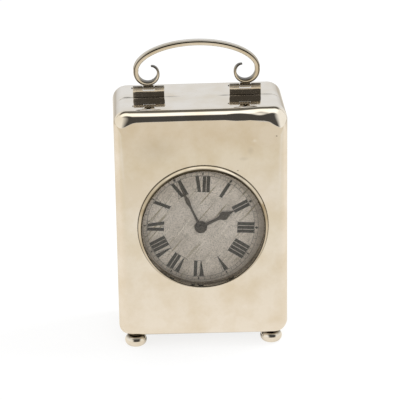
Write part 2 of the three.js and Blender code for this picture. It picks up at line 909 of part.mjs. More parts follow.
// A train wheel, riveted to its arbor, with its pinion
function wheelOnArbor({ wheel, wheelAt, pinion, pinionAt, pinionLength }) {
  const [y0, y1] = [trainAt + endShake, backPlateAt - endShake];
  return join(
    turned([
      [0, y0 - pivotLength],
      [pivotRadius, y0 - pivotLength],
      [pivotRadius, y0],
      [arborRadius, y0],
      [arborRadius, y1],
      [pivotRadius, y1],
      [pivotRadius, y1 + pivotLength],
      [0, y1 + pivotLength],
    ]),
    plate(wheel, trainAt + wheelAt, trainAt + wheelAt + wheelThickness),
    plate(pinion, trainAt + pinionAt, trainAt + pinionAt + pinionLength),
  );
}

const wheelPinionLength = wheelThickness + 2 * pinionMargin;

// Barrel: a toothed drum, its cover, the mainspring inside and the arbor through them
const barrelRoot = barrelModule * (barrelTeeth / 2 - dedendumShare);
const drumRadius = barrelRoot - barrelInset;

function barrelDrum() {
  const [y0, y1] = [trainAt + barrelAt, trainAt + barrelAt + barrelLength];
  const bore = barrelHubRadius / 2 + barrelArborRadius / 2;
  const flange = wheelShape(barrelTeeth, barrelModule, direction(barrelPlace, intermediatePlace));
  const teeth = plate(withHole(flange, bore), y0, y0 + barrelFlange);
  const wall = tube(drumRadius - barrelWall, drumRadius, y0 + barrelFlange / 2, y1, discSides);
  return join(teeth, wall);
}

at(piece('barrel', barrelDrum(), brass, movement), barrelPlace);
at(piece('barrel_cover', tube(
  barrelArborRadius + runningGap,
  drumRadius - barrelWall - seatGap,
  trainAt + barrelAt + barrelLength - barrelWall,
  trainAt + barrelAt + barrelLength,
  discSides,
), brass, movement), barrelPlace);
at(piece('mainspring', plate(
  spiral(barrelHubRadius + openGap, drumRadius - barrelWall - openGap, springTurns, springStrip, springSteps),
  trainAt + barrelAt + barrelFlange + runningGap,
  trainAt + barrelAt + barrelLength - barrelWall - runningGap,
), steel, movement), barrelPlace);

const ratchetAt = backFace + ratchetStand;
const squareEnd = backFace + keyStand + keyHubLength / 2;

function barrelArbor() {
  const [y0, y1] = [trainAt + endShake, backFace + ratchetStand / 2];
  const hubFrom = trainAt + barrelAt + barrelFlange + runningGap;
  const hubTo = trainAt + barrelAt + barrelLength - barrelWall - runningGap;
  return turned([
    [0, y0 - pivotLength],
    [arborRadius, y0 - pivotLength],
    [arborRadius, y0],
    [barrelArborRadius, y0],
    [barrelArborRadius, hubFrom],
    [barrelHubRadius, hubFrom],
    [barrelHubRadius, hubTo],
    [barrelArborRadius, hubTo],
    [barrelArborRadius, y1],
    [squareRadius, y1],
    [squareRadius, squareEnd],
    [0, squareEnd],
  ]);
}

at(piece('barrel_arbor', barrelArbor(), steel, movement), barrelPlace);
const ratchet = ratchetShape(ratchetTeeth, ratchetRadius, ratchetToothHeight, ratchetLeanShare);
at(piece('ratchet_wheel', plate(
  withHole(ratchet, squareRadius + seatGap),
  ratchetAt,
  ratchetAt + ratchetThickness,
), steel, movement), barrelPlace);

// Winding key: a hub on the arbor's square end, with two flat wings
function windingKey() {
  const from = backFace + keyStand;
  const hub = rod(keyHubRadius, from, from + keyHubLength);
  const end = backFace + keyLength;
  const wings = [-1, 1].map((side) => {
    const shape = circle(keyWingRadius, [side * (keyWingSpan - keyWingRadius), end - keyWingRadius]);
    const geometry = new THREE.ExtrudeGeometry(shape, { depth: keyWingThickness, bevelEnabled: false });
    return closed(geometry.translate(0, 0, -keyWingThickness / 2));
  });
  const neck = outline([
    [-keyHubRadius, from + keyHubLength / 2],
    [keyHubRadius, from + keyHubLength / 2],
    [keyWingSpan - keyWingRadius, end - keyWingRadius / 2],
    [-keyWingSpan + keyWingRadius, end - keyWingRadius / 2],
  ]);
  const web = new THREE.ExtrudeGeometry(neck, { depth: keyWingThickness, bevelEnabled: false });
  const socket = rod(squareRadius + seatGap, from - overrun, squareEnd + seatGap);
  return cut(join(hub, closed(web.translate(0, 0, -keyWingThickness / 2)), ...wings), socket);
}

at(piece('winding_key', windingKey(), brass, movement), barrelPlace);

// Click: a pawl at the ratchet's edge, on a shouldered screw, with a strip spring
const noseDistance = ratchetRadius + clickWidth / 2 + runningGap;
const nosePlace = meeting(clickPlace, clickReach, barrelPlace, noseDistance);
const clickTurn = direction(clickPlace, nosePlace);

function clickPawl() {
  const nose = polar(clickReach, clickTurn);
  return plate(withHole(bar(centre, nose, clickWidth), clickPivotRadius / 2 + seatGap), ratchetAt,
    ratchetAt + ratchetThickness);
}

at(piece('click', clickPawl(), steel, movement), clickPlace);
at(piece('click_screw', turned([
  [0, backFace],
  [clickPivotRadius / 2, backFace],
  [clickPivotRadius / 2, ratchetAt + ratchetThickness + seatGap],
  [clickHeadRadius, ratchetAt + ratchetThickness + seatGap],
  [clickHeadRadius, ratchetAt + ratchetThickness + clickHeadHeight],
  [0, ratchetAt + ratchetThickness + clickHeadHeight],
]), bluedSteel, movement), clickPlace);

// The click's strip spring, standing on the plate beside it
const clickSpringPlace = polar(clickSpringLength, clickTurn + clickSpringAngle, clickPlace);

function clickSpring() {
  const middle = polar(clickReach / 2, clickTurn, clickPlace);
  const apart = Math.hypot(middle[0] - clickSpringPlace[0], middle[1] - clickSpringPlace[1]);
  const length = apart - (clickWidth + clickSpringWidth) / 2 - clickSpringGap;
  const tip = polar(length, direction(clickSpringPlace, middle));
  const strip = plate(bar(centre, tip, clickSpringWidth), ratchetAt, ratchetAt + ratchetThickness);
  return join(strip, rod(clickSpringFoot / 2, backFace, ratchetAt + ratchetThickness, screwSides));
}

at(piece('click_spring', clickSpring(), steel, movement), clickSpringPlace);

// Centre arbor with the cannon pinion in front and the setting knob behind
const handFront = dialRecess - minuteHandStand - handThickness;
const knobAt = backFace + setKnobStand;

piece('centre_arbor', turned([
  [0, handFront - colletStand],
  [frontArborRadius, handFront - colletStand],
  [frontArborRadius, frontPlateAt - endShake],
  [centreArborRadius, frontPlateAt - endShake],
  [centreArborRadius, knobAt + setKnobLength / 2],
  [0, knobAt + setKnobLength / 2],
]), steel, movement);

function cannonPinion() {
  const [y0, y1] = [handFront, frontPlateAt - 2 * endShake];
  const pinion = pinionShape(cannonTeeth, cannonModule, direction(centre, minuteWheelPlace));
  const from = dialRecess + dialThickness + motionWheelAt - pinionMargin;
  return join(tube(cannonBore, cannonRadius, y0, y1), plate(withHole(pinion, cannonBore), from, y1));
}

piece('cannon_pinion', cannonPinion(), steel, movement);

// Hour wheel on its pipe, through the dial
const motionPostBore = motionPostRadius + motionPostClearance;
const hourModule = (cannonModule * (cannonTeeth + minuteWheelTeeth)) / (minutePinionTeeth + hourWheelTeeth);

function hourWheel() {
  const wheelAt = dialRecess + dialThickness + hourWheelAt;
  const wheel = wheelShape(hourWheelTeeth, hourModule, direction(centre, minuteWheelPlace));
  const front = dialRecess - hourHandStand - handThickness;
  return join(
    tube(hourBore, hourPipeRadius, front, wheelAt + motionWheelThickness),
    plate(withHole(wheel, hourBore), wheelAt, wheelAt + motionWheelThickness),
  );
}

piece('hour_wheel', hourWheel(), brass, movement);

function minuteWheel() {
  const wheelAt = dialRecess + dialThickness + motionWheelAt;
  const pinionAt = dialRecess + dialThickness + hourWheelAt - pinionMargin;
  const back = direction(minuteWheelPlace, centre);
  return join(
    plate(withHole(wheelShape(minuteWheelTeeth, cannonModule, back), motionPostBore), wheelAt,
      wheelAt + motionWheelThickness),
    plate(withHole(pinionShape(minutePinionTeeth, hourModule, back), motionPostBore), pinionAt, wheelAt),
  );
}

at(piece('minute_wheel', minuteWheel(), brass, movement), minuteWheelPlace);

// Hands

// A hand's outline pointing up: hub, narrow tail, swelling leaf and fine tip; rows are [width, height]
function handShape(hub, rows) {
  const from = Math.sqrt(hub ** 2 - (rows[0][0] / 2) ** 2);
  const right = [[rows[0][0] / 2, from], ...rows.map(([width, height]) => [width / 2, height])];
  const left = right.map(([x, y]) => [-x, y]).reverse();
  return outline([...right, ...left]);
}

function hand(hub, bore, rows, y0) {
  const y1 = y0 + handThickness;
  const blade = plate(handShape((hub + bore) / 2, rows), y0, y1);
  return cut(join(blade, rod(hub, y0, y1, discSides)), rod(bore, y0 - overrun, y1 + overrun));
}

const hourHand = hand(hourHubRadius, hourPipeRadius + seatGap, [
  [hourTailWidth, hourLeafAt - hourLeafWidth / 2],
  [hourLeafWidth, hourLeafAt],
  [hourTipWidth, hourLeafEnd],
  [hourTipWidth / 2, hourHandLength],
], dialRecess - hourHandStand - handThickness);
const minuteHand = hand(minuteHubRadius, cannonRadius + seatGap, [
  [minuteTailWidth, minuteLeafAt / 2],
  [minuteLeafWidth, minuteLeafAt],
  [minuteTipWidth, minuteHandLength - minuteLeafWidth],
  [minuteTipWidth / 2, minuteHandLength],
], handFront);
piece('hour_hand', hourHand.rotateY(hourHandAngle * degrees), bluedSteel, movement);
piece('minute_hand', minuteHand.rotateY(minuteHandAngle * degrees), bluedSteel, movement);
piece('hand_collet', tube(frontArborRadius + seatGap, colletRadius, handFront - colletStand, handFront),
  bluedSteel, movement);

piece('setting_knob', cut(
  turned([
    [0, knobAt],
    [setKnobRadius, knobAt],
    [setKnobRadius, knobAt + setKnobLength],
    [0, knobAt + setKnobLength],
  ], discSides),
  rod(centreArborRadius + seatGap, knobAt - overrun, knobAt + setKnobLength / 2 + seatGap),
), brass, movement);

// Centre wheel and its pinion on a pipe that slips on the centre arbor when the hands are set
function centreWheel() {
  const bore = centreArborRadius + centrePipeClearance;
  const pinionAt = trainAt + intermediateWheelAt - pinionMargin;
  const pinion = pinionShape(centrePinionTeeth, intermediateModule, direction(centre, intermediatePlace));
  const wheel = wheelShape(centreTeeth, centreModule, direction(centre, thirdPlace));
  return join(
    tube(bore, bore + centrePipeWall, trainAt + endShake, backPlateAt - endShake),
    plate(withHole(wheel, bore), trainAt + centreWheelAt, trainAt + centreWheelAt + wheelThickness),
    plate(withHole(pinion, bore), pinionAt, pinionAt + wheelPinionLength),
  );
}

piece('centre_wheel', centreWheel(), brass, movement);

at(piece('intermediate_wheel', wheelOnArbor({
  wheel: wheelShape(intermediateTeeth, intermediateModule, direction(intermediatePlace, centre)),
  wheelAt: intermediateWheelAt,
  pinion: pinionShape(barrelPinionTeeth, barrelModule, direction(intermediatePlace, barrelPlace)),
  pinionAt: barrelAt,
  pinionLength: barrelFlange,
}), brass, movement), intermediatePlace);

at(piece('third_wheel', wheelOnArbor({
  wheel: wheelShape(thirdTeeth, thirdModule, direction(thirdPlace, fourthPlace)),
  wheelAt: thirdWheelAt,
  pinion: pinionShape(thirdPinionTeeth, centreModule, direction(thirdPlace, centre)),
  pinionAt: centreWheelAt - pinionMargin,
  pinionLength: wheelPinionLength,
}), brass, movement), thirdPlace);

at(piece('fourth_wheel', wheelOnArbor({
  wheel: wheelShape(fourthTeeth, fourthModule, direction(fourthPlace, escapePlace)),
  wheelAt: fourthWheelAt,
  pinion: pinionShape(fourthPinionTeeth, thirdModule, direction(fourthPlace, thirdPlace)),
  pinionAt: thirdWheelAt - pinionMargin,
  pinionLength: wheelPinionLength,
}), brass, movement), fourthPlace);

at(piece('escape_wheel', wheelOnArbor({
  wheel: ratchetShape(escapeTeeth, escapeRadius, escapeToothHeight, escapeLeanShare),
  wheelAt: escapeWheelAt,
  pinion: pinionShape(escapePinionTeeth, fourthModule, direction(escapePlace, fourthPlace)),
  pinionAt: fourthWheelAt - pinionMargin,
  pinionLength: wheelPinionLength,
}), brass, movement), escapePlace);

// Lever, between the escape wheel and the balance, on the potence and the back plate
const leverAt = trainAt + escapeWheelAt;
const potenceAt = backPlateAt - potenceStand;

function palletLever() {
  const reach = escapeRadius + palletClearance + palletWidth / 2;
  const pallets = [-1, 1].map((side) => {
    const spot = polar(reach, escapementAngle + side * palletSpreadAngle, escapePlace);
    return [spot[0] - leverPlace[0], spot[1] - leverPlace[1]];
  });
  const fork = polar(forkReach, escapementAngle);
  const y1 = leverAt + leverThickness;
  const arms = pallets.map((spot) => plate(bar(centre, spot, palletWidth), leverAt, y1));
  const tail = plate(bar(centre, fork, leverWidth), leverAt, y1);
  const staff = rod(pivotRadius, potenceAt + endShake, backPlateAt + pivotLength);
  return join(...arms, tail, staff);
}

at(piece('lever', palletLever(), steel, movement), leverPlace);

function potence() {
  const relative = (place) => [place[0] - balancePlace[0], place[1] - balancePlace[1]];
  const y1 = potenceAt + potenceThickness;
  const [footX, footZ] = relative(potenceFoot);
  const plain = join(
    plate(bar(relative(leverPlace), centre, potenceWidth), potenceAt, y1),
    plate(bar(centre, [footX, footZ], potenceWidth), potenceAt, y1),
    rod(potenceFootRadius, potenceAt, backPlateAt).translate(footX, 0, footZ),
  );
  const bore = (place) => rod(pivotHole, potenceAt - overrun, y1 + overrun).translate(place[0], 0, place[1]);
  return cut(plain, bore(centre), bore(relative(leverPlace)));
}

at(piece('potence', potence(), brass, movement), balancePlace);

// Balance wheel on its staff, with the roller and its pin
const balanceAt = backFace + balanceStand;
const cockAt = backFace + cockStand;

function balanceWheel() {
  const rim = tube(balanceRadius - balanceRim, balanceRadius, balanceAt, balanceAt + balanceThickness,
    discSides);
  const arm = plate(bar([-balanceRadius + balanceRim / 2, 0], [balanceRadius - balanceRim / 2, 0],
    balanceArmWidth), balanceAt, balanceAt + balanceThickness);
  const staff = turned([
    [0, potenceAt + endShake],
    [pivotRadius, potenceAt + endShake],
    [pivotRadius, potenceAt + potenceThickness + endShake],
    [arborRadius, potenceAt + potenceThickness + endShake],
    [arborRadius, cockAt - endShake],
    [pivotRadius, cockAt - endShake],
    [pivotRadius, cockAt + cockThickness / 2],
    [0, cockAt + cockThickness / 2],
  ]);
  const rollerAt = leverAt + leverThickness + openGap;
  const roller = rod(rollerRadius, rollerAt, rollerAt + rollerThickness);
  const [x, z] = polar(rollerRadius - impulsePinInset, escapementAngle + 180);
  const pin = rod(impulsePinRadius, leverAt, rollerAt + rollerThickness / 2, screwSides);
  return join(rim, arm, staff, roller, pin.translate(x, 0, z));
}

at(piece('balance_wheel', balanceWheel(), brass, movement), balancePlace);
const hairspringAt = balanceAt + balanceThickness + hairspringStand;
at(piece('hairspring', plate(
  spiral(hairspringInner, hairspringOuter, hairspringTurns, hairspringStrip, springSteps),
  hairspringAt,
  hairspringAt + hairspringThickness,
), bluedSteel, movement), balancePlace);

function balanceCock() {
  const foot = [cockFoot[0] - balancePlace[0], cockFoot[1] - balancePlace[1]];
  const arm = plate(bar(centre, foot, cockWidth), cockAt, cockAt + cockThickness);
  const post = rod(cockWidth / 2, backFace, cockAt + cockThickness).translate(foot[0], 0, foot[1]);
  return cut(join(arm, post), rod(pivotHole, cockAt - overrun, cockAt + cockThickness + overrun));
}

at(piece('balance_cock', balanceCock(), brass, movement), balancePlace);

export default clock;
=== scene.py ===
# %% [markdown]
# # A small silver desk clock
# The clock is a polished silver box on four bun feet. It has a scroll handle on two small hinges, and a
# round glazed dial with Roman numerals. Behind the dial is a brass movement, which a door at the back gives
# on to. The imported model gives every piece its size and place, so this lesson only dresses it: it models
# the fine shapes that show, and gives each surface its finish.
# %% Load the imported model
import json
from math import acos, atan2, cos, hypot, pi, radians, sin

import bmesh
import bpy
from mathutils import Matrix, Vector

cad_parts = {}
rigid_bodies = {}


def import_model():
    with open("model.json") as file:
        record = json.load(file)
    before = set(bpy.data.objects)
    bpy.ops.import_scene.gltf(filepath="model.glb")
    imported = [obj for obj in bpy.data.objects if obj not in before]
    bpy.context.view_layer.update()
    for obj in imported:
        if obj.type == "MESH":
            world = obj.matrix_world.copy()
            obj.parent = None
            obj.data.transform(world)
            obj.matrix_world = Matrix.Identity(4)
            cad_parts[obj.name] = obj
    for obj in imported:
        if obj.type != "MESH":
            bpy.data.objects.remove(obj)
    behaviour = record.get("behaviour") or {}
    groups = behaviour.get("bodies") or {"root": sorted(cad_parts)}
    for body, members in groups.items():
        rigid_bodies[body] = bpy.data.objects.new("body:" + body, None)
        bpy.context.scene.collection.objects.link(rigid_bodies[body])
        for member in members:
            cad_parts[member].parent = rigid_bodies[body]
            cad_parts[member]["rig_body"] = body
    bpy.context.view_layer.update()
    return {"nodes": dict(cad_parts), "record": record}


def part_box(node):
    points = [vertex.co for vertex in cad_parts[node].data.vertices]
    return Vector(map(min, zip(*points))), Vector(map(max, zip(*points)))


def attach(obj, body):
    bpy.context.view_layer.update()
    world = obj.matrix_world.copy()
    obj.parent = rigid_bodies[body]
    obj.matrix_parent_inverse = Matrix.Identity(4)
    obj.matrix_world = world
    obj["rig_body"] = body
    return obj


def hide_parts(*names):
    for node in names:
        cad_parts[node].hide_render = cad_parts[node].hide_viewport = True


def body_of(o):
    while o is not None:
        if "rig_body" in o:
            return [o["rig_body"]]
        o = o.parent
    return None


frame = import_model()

mm = 0.001
full_turn, quarter = 2 * pi, pi / 2

# %% [markdown]
# The camera comes first, because every look is judged through it. The photograph was taken from about three
# quarters of a metre, a little above the clock and a little to its left, with a long lens. A camera can be
# placed by eye, but here its direction is worked out from a pitch, a yaw and a small roll.
# %% Camera
def placed(name, data):
    """A new object in the scene."""
    thing = bpy.data.objects.new(name, data)
    bpy.context.scene.collection.objects.link(thing)
    return thing


camera_distance = 750 * mm
camera_pitch, camera_yaw, camera_roll = [radians(angle) for angle in (20.6, -2.44, -0.86)]
case_low_corner, case_high_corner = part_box("case_band")
camera_target = (case_low_corner + case_high_corner) / 2 + Vector((0, 0, 1 * mm))
picture_pixels, pixels_per_metre, pixels_dropped = 400, 2712.5, 4.7

sight = Vector((
    sin(camera_yaw) * cos(camera_pitch),
    -cos(camera_yaw) * cos(camera_pitch),
    sin(camera_pitch),
))
level = Vector((cos(camera_yaw), sin(camera_yaw), 0))
raised = sight.cross(level)
across = cos(camera_roll) * level + sin(camera_roll) * raised
upward = cos(camera_roll) * raised - sin(camera_roll) * level

camera_data = bpy.data.cameras.new("camera")
camera_data.sensor_width = 36
camera_data.lens = camera_data.sensor_width * pixels_per_metre / picture_pixels * camera_distance
camera_data.shift_y = pixels_dropped / picture_pixels
camera_data.clip_start = 10 * mm
camera = placed("camera", camera_data)
turned_view = Matrix((across, upward, sight)).transposed().to_4x4()
camera.matrix_world = Matrix.Translation(camera_target + sight * camera_distance) @ turned_view
bpy.context.scene.camera = camera
bpy.context.scene.view_settings.view_transform = "Standard"
print("lens", round(camera_data.lens, 1), "mm")

# %% [markdown]
# Every finish below is a small tree of nodes. Nodes can be placed and wired one by one, which hides the
# idea. With these helpers a tree reads like a sum: each node is made with whatever feeds it.
# %% Helpers for nodes


def plug(tree, socket, source):
    """Sets an input, or wires it to a socket or to the first output that a node has in use."""
    if isinstance(source, bpy.types.Node):
        source = next(output for output in source.outputs if output.enabled)
    if isinstance(source, bpy.types.NodeSocket):
        tree.links.new(source, socket)
    else:
        socket.default_value = source


def give(tree, node, **sources):
    for name, source in sources.items():
        plug(tree, node.inputs[name.replace("_", " ")], source)


def add(tree, kind, *sources, **settings):
    """A new node. Sources go to its first inputs. A setting is a property or the input of that name."""
    node = tree.nodes.new("ShaderNode" + kind)
    properties = [name for name in settings if hasattr(node, name)]
    for name in properties:
        setattr(node, name, settings[name])
    give(tree, node, **{name: value for name, value in settings.items() if name not in properties})
    for socket, source in zip(node.inputs, sources):
        plug(tree, socket, source)
    return node


# %% [markdown]
# Four kinds come back so often that each gets a name: a sum, a colour ramp, one colour laid over another,
# and a choice between two looks by the kind of ray.
# %% Helpers for common nodes


def reckon(tree, operation, *sources):
    return add(tree, "Math", *sources, operation=operation)


def ramp(tree, source, *stops):
    """A colour ramp through (place, colour) stops. A lone number is a grey."""
    node = add(tree, "ValToRGB", source)
    elements = node.color_ramp.elements
    while len(elements) < len(stops):
        elements.new(0.5)
    for element, (place, colour) in zip(elements, stops):
        element.position = place
        grey = isinstance(colour, (int, float))
        element.color = (colour, colour, colour, 1) if grey else (*colour, 1)
    return node


def laid_over(tree, share, under, over, blend="MIX"):
    return add(tree, "Mix", data_type="RGBA", blend_type=blend, Factor=share, A=under, B=over)


def by_ray(tree, ray, otherwise, then):
    return add(tree, "MixShader", add(tree, "LightPath").outputs[ray], otherwise, then)


def new_paint(name, **settings):
    """A material, its tree and its shader, with these values on the shader's own inputs."""
    paint = bpy.data.materials.new(name)
    paint.use_nodes = True
    tree = paint.node_tree
    shader = tree.nodes["Principled BSDF"]
    give(tree, shader, **settings)
    return paint, tree, shader


# %% [markdown]
# Polished silver shows its surroundings and little of itself, so the room matters as much as the metal. The
# real one stood on a white table before a white backdrop, with a long soft box overhead and a dark room
# behind the camera. A modelled room would also light the clock. This world gives matt surfaces an even pale
# grey, and gives mirrors the room, as a ramp round an axis that runs left to right.
# %% World
room_light = 0.75
# Angles run from the horizon behind the clock, over the top, to the horizon in front.
white_card, dim_ceiling = (0.80, 0.81, 0.82), (0.15, 0.14, 0.12)
soft_box, dark_room = (1.35, 1.33, 1.25), (0.068, 0.065, 0.061)
room_stops = [
    (0, (0.66, 0.65, 0.63)), (12, white_card), (47, white_card), (56, dim_ceiling), (80, dim_ceiling),
    (88, soft_box), (115, soft_box), (124, dark_room), (180, dark_room)]
side_light = (0.95, 0.93, 0.87, 1)
white = (1, 1, 1, 1)

world = bpy.data.worlds.new("studio")
bpy.context.scene.world = world
world.use_nodes = True
tree = world.node_tree
tree.nodes.clear()
sideways, deep, high = add(tree, "SeparateXYZ", add(tree, "TexCoord").outputs["Generated"]).outputs
half_turns = reckon(tree, "DIVIDE", reckon(tree, "ARCTAN2", high, deep), pi)
room = ramp(tree, half_turns, *[(angle / 180, colour) for angle, colour in room_stops])
to_left = add(tree, "MapRange", sideways, From_Min=-0.3, From_Max=-0.62)
to_right = add(tree, "MapRange", sideways, From_Min=0.56, From_Max=0.8)
low_down = add(tree, "MapRange", high, From_Min=0.75, From_Max=0.6)
beside = reckon(tree, "MULTIPLY", reckon(tree, "MAXIMUM", to_left, to_right), low_down)
around = laid_over(tree, beside, room, side_light)
for_matt = add(tree, "Background", Strength=room_light, Color=white)
for_mirrors = add(tree, "Background", Strength=1, Color=around)
backdrop = add(tree, "Background", Strength=1, Color=white)
lit = by_ray(tree, "Is Glossy Ray", for_matt, for_mirrors)
add(tree, "OutputWorld", by_ray(tree, "Is Camera Ray", lit, backdrop))
print("world", len(tree.nodes), "nodes")


# %% [markdown]
# Two area lamps add what the even world lacks: a soft shadow to the left, and light on the front. They stay
# out of the reflections, where the world already draws the lights.
# %% Lamps
def lamp(name, place, size, power):
    data = bpy.data.lights.new(name, "AREA")
    data.size = size
    data.energy = power
    light = placed(name, data)
    light.location = place
    light.rotation_euler = (camera_target - Vector(place)).to_track_quat("-Z", "Y").to_euler()
    light.visible_glossy = False


lamp("key_box", (0.55, 0.1, 0.75), 0.35, 2.4)
lamp("front_fill", (0.3, -0.9, 0.5), 0.8, 1)

# %% [markdown]
# The table is a large flat sheet. Seen by the camera it is white with the clock's soft shadow. Mirrors see
# it glow in the warm grey that the silver shows, brighter close by than far off, with a painted shadow under
# the clock: a painted reflection of the table. A plain white table would do for a matt object, but here the
# front plate is a picture of the table.
# %% Table
def as_object(name, shape):
    """A bmesh as a mesh object in the scene."""
    mesh = bpy.data.meshes.new(name)
    shape.to_mesh(mesh)
    shape.free()
    return placed(name, mesh)


table_shape = bmesh.new()
bmesh.ops.create_grid(table_shape, x_segments=1, y_segments=1, size=3)
table = as_object("table", table_shape)

# %% [markdown]
# The paint of the table splits by the kind of ray. The ramp runs forwards from the clock's front to a third
# of a metre before it.
# %% Table paint
table_tints = [
    (0, (0.92, 0.865, 0.775)), (0.2, (0.865, 0.811, 0.715)), (0.39, (0.83, 0.787, 0.69)),
    (0.56, (0.84, 0.80, 0.725)), (0.72, (0.767, 0.71, 0.59)), (0.86, (0.74, 0.67, 0.55))]
half_clock = (31 * mm, 19 * mm)

table_paint, tree, _ = new_paint("white_table")
tree.nodes.clear()
sideways, deep, _ = add(tree, "SeparateXYZ", add(tree, "TexCoord").outputs["Object"]).outputs
tint = ramp(tree, add(tree, "MapRange", deep, From_Min=-20 * mm, From_Max=-300 * mm), *table_tints)
behind = add(tree, "MapRange", deep, From_Min=150 * mm, From_Max=500 * mm, To_Min=1, To_Max=0.6)
dimmed = add(tree, "VectorMath", tint, operation="SCALE", Scale=behind)
past_side, past_front = [
    reckon(tree, "SUBTRACT", reckon(tree, "ABSOLUTE", along), half)
    for along, half in zip((sideways, deep), half_clock)]
outside = reckon(tree, "MAXIMUM", past_side, past_front)
# A painted shadow under the clock, seen by mirrors only.
shadow_under_clock = add(tree, "MapRange", outside, From_Min=-13 * mm, From_Max=-1 * mm, To_Min=0.06, To_Max=1)
reflected = add(tree, "VectorMath", dimmed, operation="SCALE", Scale=shadow_under_clock)
for_mirrors = add(tree, "Emission", Strength=1, Color=reflected)
for_matt = add(tree, "BsdfDiffuse", Color=(0.85, 0.85, 0.85, 1))
shadow_catcher = add(tree, "BsdfDiffuse", Color=(0.27, 0.27, 0.27, 1))
for_camera = add(tree, "AddShader", shadow_catcher, add(tree, "Emission", Strength=0.79))
lit = by_ray(tree, "Is Camera Ray", for_matt, for_camera)
add(tree, "OutputMaterial", by_ray(tree, "Is Glossy Ray", lit, for_mirrors))
table.data.materials.append(table_paint)
print("table paint", len(tree.nodes), "nodes")

# %% [markdown]
# Dents and stains lie at a place on the clock. Each is a soft-edged ellipsoid: strongest at its centre,
# gone on its shell. Painted maps could hold them, but a few formulas stay sharp from any distance.
# %% Spots


def distance_from(tree, where, centre, half_sizes):
    """Runs from 0 at the centre to 1 on the shell with these half-sizes, in millimetres."""
    near = add(tree, "Mapping", where, vector_type="TEXTURE", Location=[v * mm for v in centre],
               Scale=[v * mm for v in half_sizes])
    return add(tree, "VectorMath", near, operation="LENGTH")


def spot(tree, where, centre, half_sizes, amount):
    away = distance_from(tree, where, centre, half_sizes)
    return add(tree, "MapRange", away, interpolation_type="SMOOTHSTEP", To_Min=amount, To_Max=0)


# %% [markdown]
# All the metals are one recipe with other numbers. A metal's colour is that of its reflections. What makes
# it look real is what disturbs them: slow waves from hammering and dents, fine scratches that all run
# roughly one way, and breath and handling that dull patches of it. Corners are painted darker, as painted
# shade that also stands for the dirt there, and marked places get tarnish and painted shade.
# %% A recipe for metal
scratch_slant = (0.5, 0.35, 0.2)
# Painted shade in corners, which also stands for dirt there.
corner_shade_and_dirt = (0.09, 0.07, 0.045, 1)
# Tarnish and painted shade at marked places.
tarnish_and_shade_colour = (0.065, 0.052, 0.033, 1)
# Stains, and painted shadow beside the hinge leaves.
stain_and_shade_colour = (0.06, 0.05, 0.035, 1)


def weathered_and_shaded(tree, where, colour, shade_and_dirt_reach, stains_and_shade, worn):
    """The metal's colour with painted shade and dirt in its corners, tarnish and painted shade where marked,
    and its stains, some of them painted shadow.
    """
    # Ambient occlusion paints shade into the corners, which also stands for dirt there.
    if shade_and_dirt_reach:
        corner = add(tree, "AmbientOcclusion", samples=6, Distance=shade_and_dirt_reach * mm)
        colour = laid_over(tree, ramp(tree, corner.outputs["AO"], (0.52, 1), (0.8, 0)), colour, corner_shade_and_dirt)
    # The marked places are tarnish that polish never reaches, and painted shade and dark reflection.
    if worn:
        marked = add(tree, "Attribute", attribute_name="tarnish_and_shade")
        colour = laid_over(tree, marked.outputs["Fac"], colour, tarnish_and_shade_colour)
    # Some stains are painted shadow beside the hinge leaves.
    for centre, half_sizes, strength in stains_and_shade:
        colour = laid_over(tree, spot(tree, where, centre, half_sizes, strength), colour, stain_and_shade_colour)
    return colour


def dented(tree, where, dents):
    """A surface with dents, each a centre, half-sizes and a depth in millimetres."""
    height = None
    for centre, half_sizes, depth in dents:
        bowl = spot(tree, where, centre, half_sizes, -depth)
        height = reckon(tree, "ADD", height, bowl) if height else bowl
    return add(tree, "Bump", Strength=1, Distance=mm, Height=height)


def metal(name, light, dark, rough, waves=0.0, wave_size=20.0, scratches=0.3, grain=(1, 0.03, 0.03),
          shade_and_dirt_reach=0.0, dents=(), stains_and_shade=(), worn=False):
    """light and dark are the metal's cleanest and its most tarnished colour."""
    paint, tree, shader = new_paint(name, Metallic=1)
    where = add(tree, "TexCoord").outputs["Object"]
    smudge = add(tree, "TexNoise", where, Scale=75, Detail=4, Roughness=0.6)
    colour = weathered_and_shaded(tree, where, ramp(tree, smudge, (0.36, dark), (0.62, light)), shade_and_dirt_reach, stains_and_shade, worn)
    haze = add(
        tree, "MapRange", smudge, From_Min=0.35, From_Max=0.7, To_Min=rough * 0.6, To_Max=rough * 1.6)
    swell = add(tree, "TexNoise", where, Scale=1000 / wave_size, Detail=1, Roughness=0.4)
    rolling = add(tree, "Bump", Strength=1, Distance=waves * mm, Height=swell)
    if dents:
        give(tree, rolling, Normal=dented(tree, where, dents))
    lie = add(tree, "Mapping", where, Rotation=scratch_slant, Scale=grain)
    lines = add(tree, "TexNoise", lie, Scale=4200, Detail=3, Roughness=0.7)
    marks = add(tree, "Bump", Strength=scratches, Distance=0.012 * mm, Height=lines, Normal=rolling)
    give(tree, shader, Base_Color=colour, Roughness=haze, Normal=marks)
    return paint


